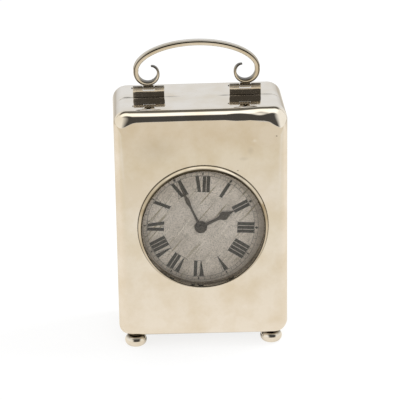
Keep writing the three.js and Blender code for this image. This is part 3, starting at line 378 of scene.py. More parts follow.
# %% [markdown]
# The case is an old one. Its upper corners are knocked in and the top sags beside the hinges. Dark streaks
# beside the leaves are painted shadow of their feet, with some tarnish; the other rows are stains and pits.
# Each row gives a centre, half-sizes and a depth or strength.
# %% Marks on the case
case_dents = [
    ((22, -18.7, 90.2), (9, 6, 7), 0.62),
    ((30.5, -17, 90), (7, 6, 9), 1.0),
    ((13, -19, 88.5), (5, 3, 2.2), 0.14),
    ((-4, -19, 87.5), (9, 3, 2.2), 0.05),
    ((21, -17.5, 89.6), (4, 3, 1.2), 0.1),
    ((-27, -18, 89), (8, 5, 4), 0.12),
    ((-26, 0, 91.1), (5, 1.2, 2), 0.3),
    ((-9, 0.3, 91.1), (4, 1.4, 2), 0.25),
    ((26, 0, 91.1), (5, 1.2, 2), 0.2),
    ((17.6, -5, 91.1), (9, 4, 2), 0.2),
    ((-17.6, -5, 91.1), (9, 4, 2), 0.2),
    ((19, -19, 79), (1.2, 2, 1.4), 0.06),
]
case_stains_and_shade = [
    # Painted shadow beside the feet of the hinge leaves, with some tarnish.
    ((-25.2, -0.2, 91.1), (3.4, 0.75, 1), 1),
    ((-10.4, -0.2, 91.1), (3.4, 0.6, 1), 0.85),
    ((9.6, -0.2, 91.1), (3.4, 0.75, 1), 1),
    ((24.4, -0.2, 91.1), (3.4, 0.65, 1), 0.95),
    ((12.9, -18.7, 68.6), (0.45, 1, 0.3), 0.9),
    ((26.8, -18.2, 81.2), (0.5, 2, 0.4), 0.9),
    ((-16, -18.7, 77), (11, 2, 8), 0.09),
    ((15, -18.7, 73), (2.4, 1, 1.1), 0.12),
    ((17.5, -18.7, 76), (1.6, 1, 2), 0.12),
]

# %% [markdown]
# The case's silver is the smoothest and has the dents. The small silver pieces are duller. Gilt plates are
# grained, wheels are polished, and steel is grey or blued by heat.
# %% The metals
silver = metal(
    "case_silver", (0.90, 0.845, 0.77), (0.82, 0.74, 0.62), 0.045, waves=0.3, wave_size=24, shade_and_dirt_reach=0.5,
    dents=case_dents, stains_and_shade=case_stains_and_shade)
trim_silver = metal(
    "trim_silver", (0.88, 0.82, 0.74), (0.76, 0.68, 0.56), 0.07, waves=0.03, wave_size=6, shade_and_dirt_reach=0.3,
    worn=True)
strip_silver = metal(
    "strip_silver", (0.88, 0.82, 0.73), (0.74, 0.66, 0.53), 0.07, waves=0.02, wave_size=7, worn=True)
bezel_silver = metal(
    "bezel_silver", (0.88, 0.84, 0.77), (0.58, 0.53, 0.44), 0.07, waves=0.03, wave_size=6, shade_and_dirt_reach=0.4,
    worn=True)
foot_silver = metal(
    "foot_silver", (0.88, 0.83, 0.76), (0.76, 0.69, 0.58), 0.06, waves=0.03, wave_size=5, worn=True)
brass = metal("gilt_brass", (0.83, 0.62, 0.29), (0.70, 0.46, 0.17), 0.24, scratches=0.9)
wheel_brass = metal(
    "polished_brass", (0.87, 0.68, 0.34), (0.74, 0.50, 0.20), 0.18, scratches=0.6, grain=(1, 1, 0.05))
steel = metal("grey_steel", (0.56, 0.56, 0.57), (0.44, 0.43, 0.43), 0.2, scratches=0.7)
blued_steel = metal("blued_screws", (0.035, 0.05, 0.11), (0.07, 0.045, 0.085), 0.28, scratches=0.4)
hand_steel = metal("hand_steel", (0.10, 0.09, 0.085), (0.06, 0.053, 0.05), 0.42, scratches=0.5)
print("case silver", len(silver.node_tree.nodes), "nodes")

# %% [markdown]
# Each piece below is shaped in millimetres and handed to one helper. It brings the piece to metres, smooths
# its round parts and puts it on the body it moves with, in the place of the CAD nodes that it stands for.
# %% Finishing a piece
slot_of = {part["node"]: part["material_slot"] for part in frame["record"]["subparts"]}
new_pieces = []


def finish(name, shape, paint, stands_for=(), beside=None, smooth_to=32):
    """A bmesh in millimetres becomes a piece, on the body of what it stands for or of the node beside it."""
    bmesh.ops.scale(shape, vec=(mm, mm, mm), verts=shape.verts)
    piece = as_object(name, shape)
    piece.data.shade_smooth()
    piece.data.set_sharp_from_angle(angle=radians(smooth_to))
    piece.data.materials.append(paint)
    guide = stands_for[0] if stands_for else beside
    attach(piece, body_of(frame["nodes"][guide])[0])
    if stands_for:
        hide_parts(*stands_for)
    new_pieces.append(piece)
    return piece


def tarnish_and_shade(piece, share_at):
    """Marks, point by point, how dark the metal is painted: tarnish that polish never reaches, and painted
    shade.
    """
    marks = piece.data.attributes.new("tarnish_and_shade", "FLOAT", "POINT")
    for index, vert in enumerate(piece.data.vertices):
        marks.data[index].value = max(0.0, min(1.0, share_at(index, vert.co / mm)))


# %% [markdown]
# Real pieces are made apart and joined, and no edge on them is quite sharp. These three helpers do the
# same: they move a shape, add one to another, and soften edges with a bevel that has the editor's usual
# settings.
# %% Helpers for moving and joining


def moved(shape, x=0.0, y=0.0, z=0.0):
    bmesh.ops.translate(shape, vec=(x, y, z), verts=shape.verts)
    return shape


def absorb(shape, other):
    """Adds the other shape's shells to this one."""
    spare = bpy.data.meshes.new("spare")
    other.to_mesh(spare)
    other.free()
    shape.from_mesh(spare)
    bpy.data.meshes.remove(spare)
    return shape


def soften(shape, edges, by, segments=2):
    bmesh.ops.bevel(
        shape, geom=edges, offset=by, offset_type="OFFSET", segments=segments, profile=0.5, affect="EDGES",
        material=-1)


# %% [markdown]
# Most of the pieces are turned. On a lathe the tool follows a profile while the work spins. Here a profile
# is spun a full turn round an axis, which gives rings and bosses that stacked cylinders wouldn't.
# %% Helpers for turned pieces


def round_again(points):
    """Pairs of neighbours in a closed ring."""
    return zip(points, points[1:] + points[:1])


def spread(start, end, steps):
    return [start + (end - start) * i / steps for i in range(steps + 1)]


def arc(centre, radius, start, end, steps):
    """Points on an arc in a profile, with angles in degrees."""
    angles = [radians(angle) for angle in spread(start, end, steps)]
    return [(centre[0] + radius * cos(a), centre[1] + radius * sin(a)) for a in angles]


def spun(profile, axis="Y", steps=96, closed=True):
    """A profile of (radius, distance along the axis) points, spun into a round piece."""
    shape = bmesh.new()
    order = {"X": (1, 0, 2), "Y": (0, 1, 2), "Z": (0, 2, 1)}[axis]
    points = [shape.verts.new([(radius, along, 0)[i] for i in order]) for radius, along in profile]
    edges = [shape.edges.new(pair) for pair in (round_again(points) if closed else zip(points, points[1:]))]
    bmesh.ops.spin(
        shape, geom=points + edges, cent=(0, 0, 0), axis=[float(letter == axis) for letter in "XYZ"],
        angle=full_turn, steps=steps, use_merge=True)
    bmesh.ops.remove_doubles(shape, verts=shape.verts, dist=0.0008)
    bmesh.ops.recalc_face_normals(shape, faces=shape.faces)
    return shape


# %% [markdown]
# Sheet and strip are bent, not turned, so a ring of points is extruded from place to place along them. A
# curve with a bevel could do it too, but here every ring may have a shape of its own.
# %% Helpers for bent pieces


def first_ring(shape, places):
    points = [shape.verts.new(at) for at in places]
    return points, [shape.edges.new(pair) for pair in round_again(points)]


def skin(rings):
    """A bare skin, extruded from ring to ring of points. Its last ring of edges comes with it."""
    shape = bmesh.new()
    points, ring = first_ring(shape, rings[0])
    for places in rings[1:]:
        made_before = set(shape.verts)
        bmesh.ops.extrude_edge_only(shape, edges=ring)
        points = [next(v for v in (e.other_vert(point) for e in point.link_edges) if v not in made_before)
                  for point in points]
        for point, at in zip(points, places):
            point.co = at
        ring = [shape.edges.get(pair) for pair in round_again(points)]
    return shape, ring


# %% [markdown]
# The case is sheet silver, seamed from a front plate with rolled edges, a band for the top, bottom and
# sides, and a back frame. A cube with bevelled edges would do, but a pressed edge isn't a quarter circle:
# it falls away slowly from the face, and more so at the corners. So a rounded outline is carried along the
# depth, and each step draws it in a little more.
# %% Case sizes
front_low, front_high = [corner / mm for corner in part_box("front_panel")]
case_width, case_height, case_depth = front_high.x - front_low.x, front_high.z - front_low.z, 37.4
case_low, case_high, case_middle = front_low.z, front_high.z, (front_low.z + front_high.z) / 2
front_y, back_y = front_low.y, front_low.y + case_depth
corner_radius, low_corner_radius, face_corner, wall = 5.0, 3.7, 5.6, 1.2
roll_inset, roll_depth, seam_depth = 4.0, 4.4, 3.0
low_roll_right, low_roll_left = 1.1, 2.8
# The lower edge has turned at this share of the way to the seam, and then runs straight back.
turned_share = 0.7
low_zone_top, low_zone_height = 5.5, 4
seam_front, seam_back = front_y + seam_depth, back_y - seam_depth
seam_break, face_margin = 0.08, 0.5
seam_turn = acos(1 - seam_depth / roll_depth)
bezel_low, bezel_high = [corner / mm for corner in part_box("bezel")]
# The ring sits a hair to the right of the middle.
opening_x, opening_z = (bezel_low.x + bezel_high.x) / 2 + 0.2, (bezel_low.z + bezel_high.z) / 2
opening_radius = 22.95
print("front at", round(front_y, 2), "case", [round(v, 2) for v in (case_width, case_height, case_low)])


# %% [markdown]
# One outline serves the whole case. The upper edges roll widely. The lower ones are tight, and a little
# looser at the left, so near the bottom each point of the ring is eased from the one roll to the other.
# %% Outlines of the case
def rounded_outline(width, height, corner, x=0.0, z=0.0, steps=8, low_corner=None):
    """Points anticlockwise round a rectangle with round corners."""
    points = []
    for sx, sz, start in [(1, -1, -90), (1, 1, 0), (-1, 1, 90), (-1, -1, 180)]:
        radius = low_corner if low_corner and sz < 0 else corner
        middle = (x + sx * (width / 2 - radius), z + sz * (height / 2 - radius))
        points += arc(middle, radius, start, start + 90, steps)
    return points


def eased(share):
    share = max(0.0, min(1.0, share))
    return share * share * (3 - 2 * share)


def low_edge(turn, roll):
    """(inset, depth) of the tighter lower edge, which runs straight back once it has turned."""
    share = min(1.0, turn / (turned_share * seam_turn))
    inset = roll * (1 - sin(share * quarter))
    depth = roll * (1 - cos(share * quarter))
    rest = max(0.0, turn - turned_share * seam_turn) / ((1 - turned_share) * seam_turn)
    return inset, depth + min(1.0, rest) * (seam_depth - roll)


def case_ring(side, turn, margin=0.0):
    """The outline at a turn of the rolled edge: 0 on the face, a quarter turn on the flank."""
    inset = roll_inset * (1 - sin(turn)) + margin
    depth = roll_depth * (1 - cos(turn))
    low_inset = low_edge(turn, low_roll_right)[0] + margin
    corner = corner_radius + (face_corner - corner_radius) * (1 - sin(turn)) - margin / 2
    outline = rounded_outline(
        case_width - 2 * inset, case_height - inset - low_inset, corner,
        z=case_middle + (low_inset - inset) / 2, steps=12, low_corner=low_corner_radius - margin)
    ring = []
    for x, z in outline:
        lowness = eased((case_low + low_zone_top - z) / low_zone_height)
        leftness = 0.5 - x / case_width
        roll = low_roll_right + (low_roll_left - low_roll_right) * leftness
        inset_here, low_depth = low_edge(turn, roll)
        low_depth = max(low_depth, depth) if turn > seam_turn else low_depth
        back = depth + (low_depth - depth) * lowness
        z += (inset_here + margin - low_inset) * lowness
        ring.append((x, front_y + back if side < 0 else back_y - back, z))
    return ring


# %% [markdown]
# The front plate starts as a skin without thickness: rings from the seam to the face, and a flat fill up to
# the round hole for the dial. Then the skin gets its wall, and its edge at the seam is broken a little, so
# that the seam shows as a fine line.
# %% Front plate
def sheet_metal(shape, seams):
    """Gives the skin its wall, inwards, and breaks the sharp edge along each seam."""
    bmesh.ops.recalc_face_normals(shape, faces=shape.faces)
    on_seam = [e for e in shape.edges if e.is_boundary and any(
        all(abs(v.co.y - seam) < 0.01 for v in e.verts) for seam in seams)]
    middle = sum(v.co.y for v in shape.verts) / len(shape.verts)
    bmesh.ops.solidify(shape, geom=shape.faces[:], thickness=wall)
    for vert in shape.verts:
        for seam in seams:
            if (vert.co.y - seam) * (middle - seam) < 0:
                vert.co.y = seam
    soften(shape, on_seam, seam_break, 1)
    return shape


def pressed_face(side, hole_outline):
    """A front or back skin with its rolled edge and a flat that is filled up to a hole."""
    rings = [case_ring(side, turn) for turn in spread(seam_turn, 0, 14)]
    shape, ring = skin(rings + [case_ring(side, 0, face_margin)])
    y = front_y if side < 0 else back_y
    _, hole = first_ring(shape, [(x, y, z) for x, z in hole_outline])
    bmesh.ops.triangle_fill(shape, edges=ring + hole, use_beauty=True)
    return shape


round_opening = arc((opening_x, opening_z), opening_radius, 0, 360, 96)[:-1]
front_shape = sheet_metal(pressed_face(-1, round_opening), [seam_front])
finish("front_panel_rolled", front_shape, silver, ["front_panel"])

# %% [markdown]
# The band is one strip of sheet, bent round the case. It could be a box without ends, but drawn through the
# same rings as the plates, from the front seam over the flanks to the back seam, it meets them flush.
# %% Case band
band_rings = [case_ring(-1, turn) for turn in spread(seam_turn, quarter, 5)]
band_rings += [case_ring(1, turn) for turn in spread(quarter, seam_turn, 5)]
band_shape, _ = skin(band_rings)
finish("case_band_rolled", sheet_metal(band_shape, [seam_front, seam_back]), silver, ["case_band"])
print("band", len(band_rings), "rings")

# %% [markdown]
# The back frame is the same pressed edge with a door-shaped opening. On its right it carries knuckles for
# the door's hinge, and the opening is notched where the door's own knuckles pass.
# %% Parts of a hinge
door_width, door_height, door_corner, door_thickness = 46.0, 68.0, 3.0, 1.0
door_gap, running_gap, knuckle_share = 0.3, 0.15, 0.25
hinge_x, hinge_y, hinge_radius, pin_radius, pin_play = 24.0, back_y + 0.4, 0.9, 0.4, 0.12
knuckle_zs = [case_middle - door_height * knuckle_share, case_middle + door_height * knuckle_share]
door_knuckle, frame_knuckle = 12.0, 8.0
# Each knuckle is joined to its plate by a tongue, which stays this far from the hinge's axis.
tongue_from_axis, tongue_inset = 0.55, 0.15


def knuckle(axis, low, high, outer, bore, round_over):
    """A hinge knuckle: a tube with softened ends."""
    profile = [
        (outer - round_over, low), (outer, low + round_over), (outer, high - round_over),
        (outer - round_over, high), (bore, high), (bore, low)]
    return spun(profile, axis, 28)


def pin(axis, radius, low, high, blunt):
    """A pin with blunted ends."""
    profile = [(0, low), (radius - 0.1, low), (radius, low + blunt)]
    profile += [(radius, high - blunt), (radius - 0.1, high), (0, high)]
    return spun(profile, axis, 20, closed=False)


def brick(x, y, z, rounding=0.0):
    """A block between (low, high) pairs, with softened edges."""
    shape = bmesh.new()
    bmesh.ops.create_cube(shape, size=1)
    bmesh.ops.scale(shape, vec=[high - low for low, high in (x, y, z)], verts=shape.verts)
    moved(shape, *[(low + high) / 2 for low, high in (x, y, z)])
    if rounding:
        soften(shape, shape.edges[:], rounding)
    return shape


def hinged(shape, low, high, x, y, rounding=0.0):
    """Adds a knuckle between these heights, and its tongue between these (low, high) pairs."""
    tube = knuckle("Z", low, high, hinge_radius, pin_radius + pin_play, 0.15)
    absorb(shape, moved(tube, hinge_x, hinge_y))
    absorb(shape, brick(x, y, (low + tongue_inset, high - tongue_inset), rounding))


# %% [markdown]
# The frame's knuckles come in pairs, one above and one below each of the door's. The notches could be cut
# with a boolean. It is simpler to walk round the opening's outline and add them before the flat is filled.
# %% Back frame
def notched(outline, edge, depth, spans):
    """The outline with a square notch across its right edge at each span of heights."""
    points = []
    for here, after in round_again(outline):
        points.append(here)
        if abs(here[0] - edge) < 0.01 and abs(after[0] - edge) < 0.01 and after[1] - here[1] > 20:
            for low, high in spans:
                points += [(edge, low), (edge + depth, low), (edge + depth, high), (edge, high)]
    return points


hole_edge = door_width / 2 + door_gap
door_hole = rounded_outline(
    2 * hole_edge, door_height + 2 * door_gap, door_corner + door_gap, z=case_middle)
half_notch = door_knuckle / 2 + running_gap
notch_spans = [(z - half_notch, z + half_notch) for z in knuckle_zs]
notch_depth = hinge_x + hinge_radius + door_gap - hole_edge
door_hole = notched(door_hole, hole_edge, notch_depth, notch_spans)
frame_shape = sheet_metal(pressed_face(1, door_hole), [seam_back])
for z in knuckle_zs:
    for side in (-1, 1):
        near = z + side * half_notch
        low, high = sorted((near, near + side * frame_knuckle))
        hinged(
            frame_shape, low, high, (hinge_x + tongue_from_axis, hinge_x + hinge_radius),
            (back_y - wall / 2, hinge_y))
finish("rear_frame_rolled", frame_shape, silver, ["rear_frame"])
print("back frame with", 2 * len(knuckle_zs), "knuckles")


# %% [markdown]
# The door is a flat leaf with its own two knuckles. It closes flush with the frame. A sheet with an outline
# is a face that is pushed back by its thickness, which also serves for the hands and the handle's hinges.
# %% Door
def sheet_cut(outline, y_front, y_back, rounding=0.0, segments=2):
    """A flat piece with this (x, z) outline, between two depths, with softened edges."""
    shape = bmesh.new()
    face = shape.faces.new([shape.verts.new((x, y_front, z)) for x, z in outline])
    new = bmesh.ops.extrude_face_region(shape, geom=[face])["geom"]
    bmesh.ops.translate(
        shape, vec=(0, y_back - y_front, 0), verts=[v for v in new if isinstance(v, bmesh.types.BMVert)])
    bmesh.ops.recalc_face_normals(shape, faces=shape.faces)
    if rounding:
        rims = [e for e in shape.edges if abs(e.verts[0].co.y - e.verts[1].co.y) < 0.001]
        soften(shape, rims, rounding, segments)
    return shape


door_outline = rounded_outline(door_width, door_height, door_corner, z=case_middle)
door_shape = sheet_cut(door_outline, back_y - door_thickness, back_y, 0.22, 3)
for z in knuckle_zs:
    hinged(
        door_shape, z - door_knuckle / 2, z + door_knuckle / 2,
        (door_width / 2 - 1, hinge_x - tongue_from_axis),
        (back_y - door_thickness + 0.1, hinge_y + 0.3), 0.08)
finish("rear_door_leaf", door_shape, silver, ["rear_door"])

# %% [markdown]
# A small turned knob opens the door. Two steel pins hold it, each as long as its three knuckles.
# %% Door knob and hinge pins
knob_inset = 4
knob_profile = [(0, 0), (0.95, 0), (0.95, 0.25), (0.62, 0.45), (0.6, 0.7)]
knob_profile += arc((0.75, 1.62), 0.75, -70, 90, 12) + [(0.4, 2.5), (0, 2.55)]
knob = moved(spun(knob_profile, "Y", 40, closed=False), -door_width / 2 + knob_inset, back_y, case_middle)
finish("door_knob_turned", knob, trim_silver, ["door_knob"])
pin_reach = half_notch + frame_knuckle
for name, z in zip(("lower", "upper"), knuckle_zs):
    door_pin = moved(pin("Z", pin_radius, z - pin_reach, z + pin_reach, 0.12), hinge_x, hinge_y)
    finish(f"rear_door_pin_{name}_turned", door_pin, steel, [f"rear_door_pin_{name}"])

# %% [markdown]
# The feet are turned: a low bun under a short neck, each a profile spun round an upright axis. Spheres
# would do at a glance, but the neck and the top of the bun are painted dark, as painted shade under the
# case, and that dark line is what sets the clock on its feet.
# %% Feet
foot_height, neck_height, neck_radius = case_low, 0.7, 2.6
bun, bun_bulge, pad_radius = (foot_height - neck_height) / 2, 2.0, 2.0
foot_profile = [
    (0, foot_height), (neck_radius, foot_height), (neck_radius + 0.02, foot_height - 0.3),
    (neck_radius - 0.1, foot_height - 0.55)]
foot_profile += [
    (pad_radius + bun_bulge * sin(pi * i / 20), bun + bun * cos(pi * i / 20))
    for i in range(1, 20)]
foot_profile += [(pad_radius, 0.02), (pad_radius - 0.2, 0.0), (0, 0)]
shade_from, shade_over = 3.2, 0.9
for name in ("front_left", "front_right", "rear_left", "rear_right"):
    low, high = [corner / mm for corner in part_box(f"foot_{name}")]
    foot = moved(spun(foot_profile, "Z", 48, closed=False), (low.x + high.x) / 2, (low.y + high.y) / 2)
    foot = finish(f"foot_{name}_turned", foot, foot_silver, [f"foot_{name}"])
    # The upper part of each foot is painted dark: painted shade under the case.
    tarnish_and_shade(foot, lambda index, place: (place.z - shade_from) / shade_over)

# %% [markdown]
# The bezel is a narrow ring with a sleeve that holds the glass in the plate: a fine round crest, then a
# steep slope down to the plate. A torus would be too round, so its profile is drawn and spun round the axis
# of the opening.
# %% Bezel
seat, rise, crest = -1.0, 2.6, 0.25
lip, ring_foot, sleeve_outside, sleeve_inside, sleeve_depth = 22.1, 23.65, 22.9, 22.55, 3.4
slope = radians(62)
bezel_profile = [(lip, seat)]
bezel_profile += [
    (lip + crest + crest * sin(angle), crest - rise - crest * cos(angle))
    for angle in spread(-quarter, slope, 10)]
bezel_profile += [(lip + 0.6, -1.9), (lip + 0.75, -1.62), (lip + 1.1, -0.97), (lip + 1.22, -0.74)]
bezel_profile += [(ring_foot - 0.2, -0.36), (ring_foot - 0.1, -0.2), (ring_foot, -0.04), (ring_foot, 0)]
bezel_profile += [(sleeve_outside, 0), (sleeve_outside, sleeve_depth), (sleeve_inside, sleeve_depth)]
bezel_profile += [(sleeve_inside, seat)]
bezel = moved(spun(bezel_profile, "Y", 144), opening_x, front_y, opening_z)
bezel = finish("bezel_ring", bezel, bezel_silver, ["bezel"])


def lip_and_foot_shade(index, place):
    """Painted shade and dark reflection along the inner edge, wider at the top; round the foot a dark joint,
    partly painted shade.
    """
    radius = hypot(place.x - opening_x, place.z - opening_z)
    if radius < lip + 0.01:
        return 0.3
    upwards = max(0, (place.z - opening_z) / radius)
    at_lip = (lip + 0.55 + 0.3 * upwards - radius) / 0.25
    at_foot = (place.y - front_y + 0.75) / 0.25 if radius > ring_foot - 0.5 else 0
    return max(at_lip, at_foot)


# The bezel's lip and foot are painted darker.
tarnish_and_shade(bezel, lip_and_foot_shade)


# %% [markdown]
# The glass is a shallow watch crystal. Rendered as plain glass it would keep light off the dial, because
# light paths through it are hard to find. So for shadows and for light between matt surfaces it is simply
# clear.
# %% Glass
def clear_glass():
    paint, tree, shader = new_paint(
        "watch_glass", Base_Color=(0.985, 0.99, 0.985, 1), Transmission_Weight=1, IOR=1.45)
    wipe = add(tree, "TexNoise", add(tree, "TexCoord").outputs["Object"], Scale=220, Detail=3)
    haze = add(tree, "MapRange", wipe, From_Min=0.45, From_Max=0.75, To_Min=0.0, To_Max=0.05)
    give(tree, shader, Roughness=haze)
    path = add(tree, "LightPath").outputs
    either = reckon(tree, "MAXIMUM", path["Is Shadow Ray"], path["Is Diffuse Ray"])
    through = add(tree, "BsdfTransparent", Color=(0.97, 0.975, 0.97, 1))
    mix = add(tree, "MixShader", either, shader, through)
    give(tree, tree.nodes["Material Output"], Surface=mix)
    return paint


glass_paint = clear_glass()
glass_radius, glass_crown, glass_thickness, glass_y, glass_steps = 22.5, 0.7, 0.8, seat + 0.05, 24
glass_front = [
    (glass_radius * share, glass_y - glass_crown * (1 - share ** 2)) for share in spread(0, 1, glass_steps)]
glass_back = [(radius, y + glass_thickness) for radius, y in reversed(glass_front)]
crystal = moved(spun(glass_front + glass_back, "Y", 96, closed=False), opening_x, front_y, opening_z)
finish("dial_glass", crystal, glass_paint, ["glass"])

# %% [markdown]
# The dial is a brass disc silvered by hand, so it has a fine matt grain, long scratches of two kinds, and
# grey patches where the silvering has aged. Towards its rim it is painted darker, as painted shade from the
# bezel.
# %% Silvered finish
dial_low, dial_high = [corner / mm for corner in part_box("dial")]
dial_x, dial_z = (dial_low.x + dial_high.x) / 2, (dial_low.z + dial_high.z) / 2
aged_silver = [(0.3, (0.43, 0.375, 0.325)), (0.5, (0.585, 0.52, 0.46)), (0.7, (0.69, 0.62, 0.56))]
# Painted shade from the bezel, darker towards the rim.
rim_shade_stops = [
    (0.54, 1), (0.55, 1.05), (0.8, (1.02, 1.01, 1)), (0.87, (0.84, 0.81, 0.77)), (0.97, (0.66, 0.61, 0.55))]
pale_scratch, brown_scratch = (0.78, 0.72, 0.64, 1), (0.25, 0.205, 0.12, 1)
# Half-sizes in millimetres, so long in y that only the distance from the dial's axis counts.
rim_reach = (24, 10000, 24)


def scratches(tree, where, slant, length, scale, detail, *stops):
    """Lines at this slant, as a share of how much each one shows."""
    lie = add(tree, "Mapping", where, vector_type="TEXTURE", Rotation=(0, slant, 0), Scale=(length, 1, 1))
    return ramp(tree, add(tree, "TexNoise", lie, Scale=scale, Detail=detail), *stops)


def silvering():
    paint, tree, shader = new_paint("silvered_brass", Metallic=0.25)
    where = add(tree, "TexCoord").outputs["Object"]
    patch = add(tree, "TexNoise", where, Scale=110, Detail=5, Roughness=0.65)
    pale_lines = scratches(tree, where, -0.95, 30, 1900, 2, (0.62, 0), (0.7, 0.8))
    colour = laid_over(tree, pale_lines, ramp(tree, patch, *aged_silver), pale_scratch)
    dark_lines = scratches(tree, where, -0.86, 26, 1300, 3, (0.555, 0), (0.665, 0.9))
    worn_patch = ramp(tree, add(tree, "TexNoise", where, Scale=60, Detail=1), (0.42, 0), (0.52, 1))
    colour = laid_over(tree, reckon(tree, "MULTIPLY", dark_lines, worn_patch), colour, brown_scratch)
    grain = add(tree, "TexNoise", where, Scale=2600, Detail=3, Roughness=0.7)
    specks = ramp(tree, grain, (0.36, 0.5), (0.47, 0.97), (0.66, 1.2))
    colour = laid_over(tree, 1, colour, specks, "MULTIPLY")
    # Painted shade from the bezel, by distance from the dial's axis.
    rim_shade = ramp(tree, distance_from(tree, where, (dial_x, 0, dial_z), rim_reach), *rim_shade_stops)
    give(
        tree, shader, Base_Color=add(tree, "VectorMath", colour, rim_shade, operation="MULTIPLY"),
        Roughness=add(tree, "MapRange", patch, To_Min=0.38, To_Max=0.6),
        Normal=add(tree, "Bump", Strength=0.5, Distance=0.02 * mm, Height=grain))
    return paint


# %% [markdown]
# The plate is a turned disc with a hole for the arbors. A cylinder would do, but a spun profile gives the
# hole and the fine broken edge, which catches light, in one step.
# %% Dial plate
dial_finish = silvering()
dial_y = front_y + 3.4
dial_profile = [(1.4, 0), (23.65, 0), (23.8, 0.12), (23.8, 0.6), (1.4, 0.6)]
finish("dial_plate", moved(spun(dial_profile, "Y", 144), dial_x, dial_y, dial_z), dial_finish, ["dial"])


# %% [markdown]
# Numerals and track are engraved and filled with black wax on the real dial. Here they are very thin black
# shapes on its face, which stay sharp from any distance. The wax has worn thin in places, and most of all
# in the fine lines.
# %% Black wax
def wax(name, colour, worn):
    paint, tree, shader = new_paint(name, Roughness=0.55)
    patch = add(tree, "TexNoise", add(tree, "TexCoord").outputs["Object"], Scale=700, Detail=4)
    give(tree, shader, Base_Color=ramp(tree, patch, (0.5, colour), (0.75, worn)))
    return paint


black_wax = wax("black_wax", (0.018, 0.017, 0.016), (0.05, 0.046, 0.042))
thin_wax = wax("thin_wax", (0.08, 0.075, 0.07), (0.24, 0.22, 0.2))

# %% [markdown]
# Each numeral is a few strokes in its own small frame: across runs clockwise and out runs away from the
# centre, so that its strokes stand side by side. A thick stroke and a hairline make each V and X.
# %% Strokes on the dial
dial_turn = 3.0
numeral_in, numeral_out = 13.4, 19.25
thick, thin, gap = 1.24, 0.16, 0.2
raise_by = 0.03


def inked(shape, clockwise, corners):
    """Adds a thin plate on the dial. Its (across, out) corners turn about the centre together."""
    angle = radians(clockwise + dial_turn)
    outline = [
        (dial_x + out * sin(angle) + across_by * cos(angle),
         dial_z + out * cos(angle) - across_by * sin(angle)) for across_by, out in corners]
    absorb(shape, sheet_cut(outline, dial_y, dial_y - raise_by))


def stroke(shape, clockwise, foot, top, width, low=numeral_in, high=numeral_out):
    """A stroke from foot at the inner line to top at the outer line, both measured across."""
    half = width / 2
    corners = [(foot - half, low), (foot + half, low), (top + half, high), (top - half, high)]
    inked(shape, clockwise, corners)


def letter(bold, fine, clockwise, middle, kind):
    if kind == "I":
        stroke(bold, clockwise, middle, middle, thick)
    if kind == "V":
        inked(bold, clockwise, [
            (middle - 0.07, numeral_in), (middle + 0.17, numeral_in), (middle + 0.5, numeral_out),
            (middle - 1.2, numeral_out)])
        stroke(fine, clockwise, middle + 0.1, middle + 1.1, thin)
    if kind == "X":
        stroke(bold, clockwise, middle + 0.42, middle - 0.62, thick)
        stroke(fine, clockwise, middle - 1.1, middle + 1.1, thin)


# %% [markdown]
# A numeral is set out like a word: the widths of its letters and gaps add up, and half of that lies to each
# side of the hour. A font would need a curved baseline. Strokes can simply be turned about the centre, and
# two hairlines close them at foot and top.
# %% Numerals
letter_widths = {"I": thick, "V": 2.4, "X": 2.5}
numerals = ["XII", "I", "II", "III", "IIII", "V", "VI", "VII", "VIII", "IX", "X", "XI"]
bold, fine = bmesh.new(), bmesh.new()
for hour, letters in enumerate(numerals):
    widths = [letter_widths[kind] for kind in letters]
    whole = sum(widths) + gap * (len(letters) - 1)
    reached = -whole / 2
    for kind, width in zip(letters, widths):
        letter(bold, fine, hour * 30, reached + width / 2, kind)
        reached += width + gap
    for line in (numeral_in - thin / 2, numeral_out + thin / 2):
        stroke(fine, hour * 30, 0, 0, whole + 0.5, line - thin / 2, line + thin / 2)
finish("dial_numerals", bold, black_wax, beside="dial")
finish("dial_hairlines", fine, thin_wax, beside="dial")

# %% [markdown]
# The minute track is two fine circles with a tick for every minute and a small lozenge at every fifth. The
# wax is fresher in some of the lozenges, so those stand out.
# %% Minute track
track, lozenges = bmesh.new(), bmesh.new()
fresh_at = (1, 2, 3, 11)
track_in, track_out, track_middle = 19.6, 20.9, 20.25
half_line, tick_width, tick_gap, fresh_half, worn_half = 0.065, 0.14, 0.05, 0.55, 0.3
for radius in (track_in, track_out):
    ring = [(radius - half_line, 0), (radius + half_line, 0),
            (radius + half_line, -raise_by), (radius - half_line, -raise_by)]
    absorb(track, moved(spun(ring, "Y", 144), dial_x, dial_y, dial_z))
for minute in range(60):
    if minute % 5:
        stroke(track, minute * 6, 0, 0, tick_width, track_in + tick_gap, track_out - tick_gap)
    else:
        half = fresh_half if minute // 5 in fresh_at else worn_half
        corners = [(0, track_in), (half, track_middle), (0, track_out), (-half, track_middle)]
        inked(lozenges, minute * 6, corners)
finish("dial_track", track, thin_wax, beside="dial")
finish("dial_lozenges", lozenges, black_wax, beside="dial")


# %% [markdown]
# The hands are cut from thin blued steel and filed to a leaf or spade with a fine point. Their outline is a
# half-width at each height, which is smooth between the places that give it its character. Each hand has a
# turned boss at its root.
# %% Shape of a hand
hand_thickness = 0.25


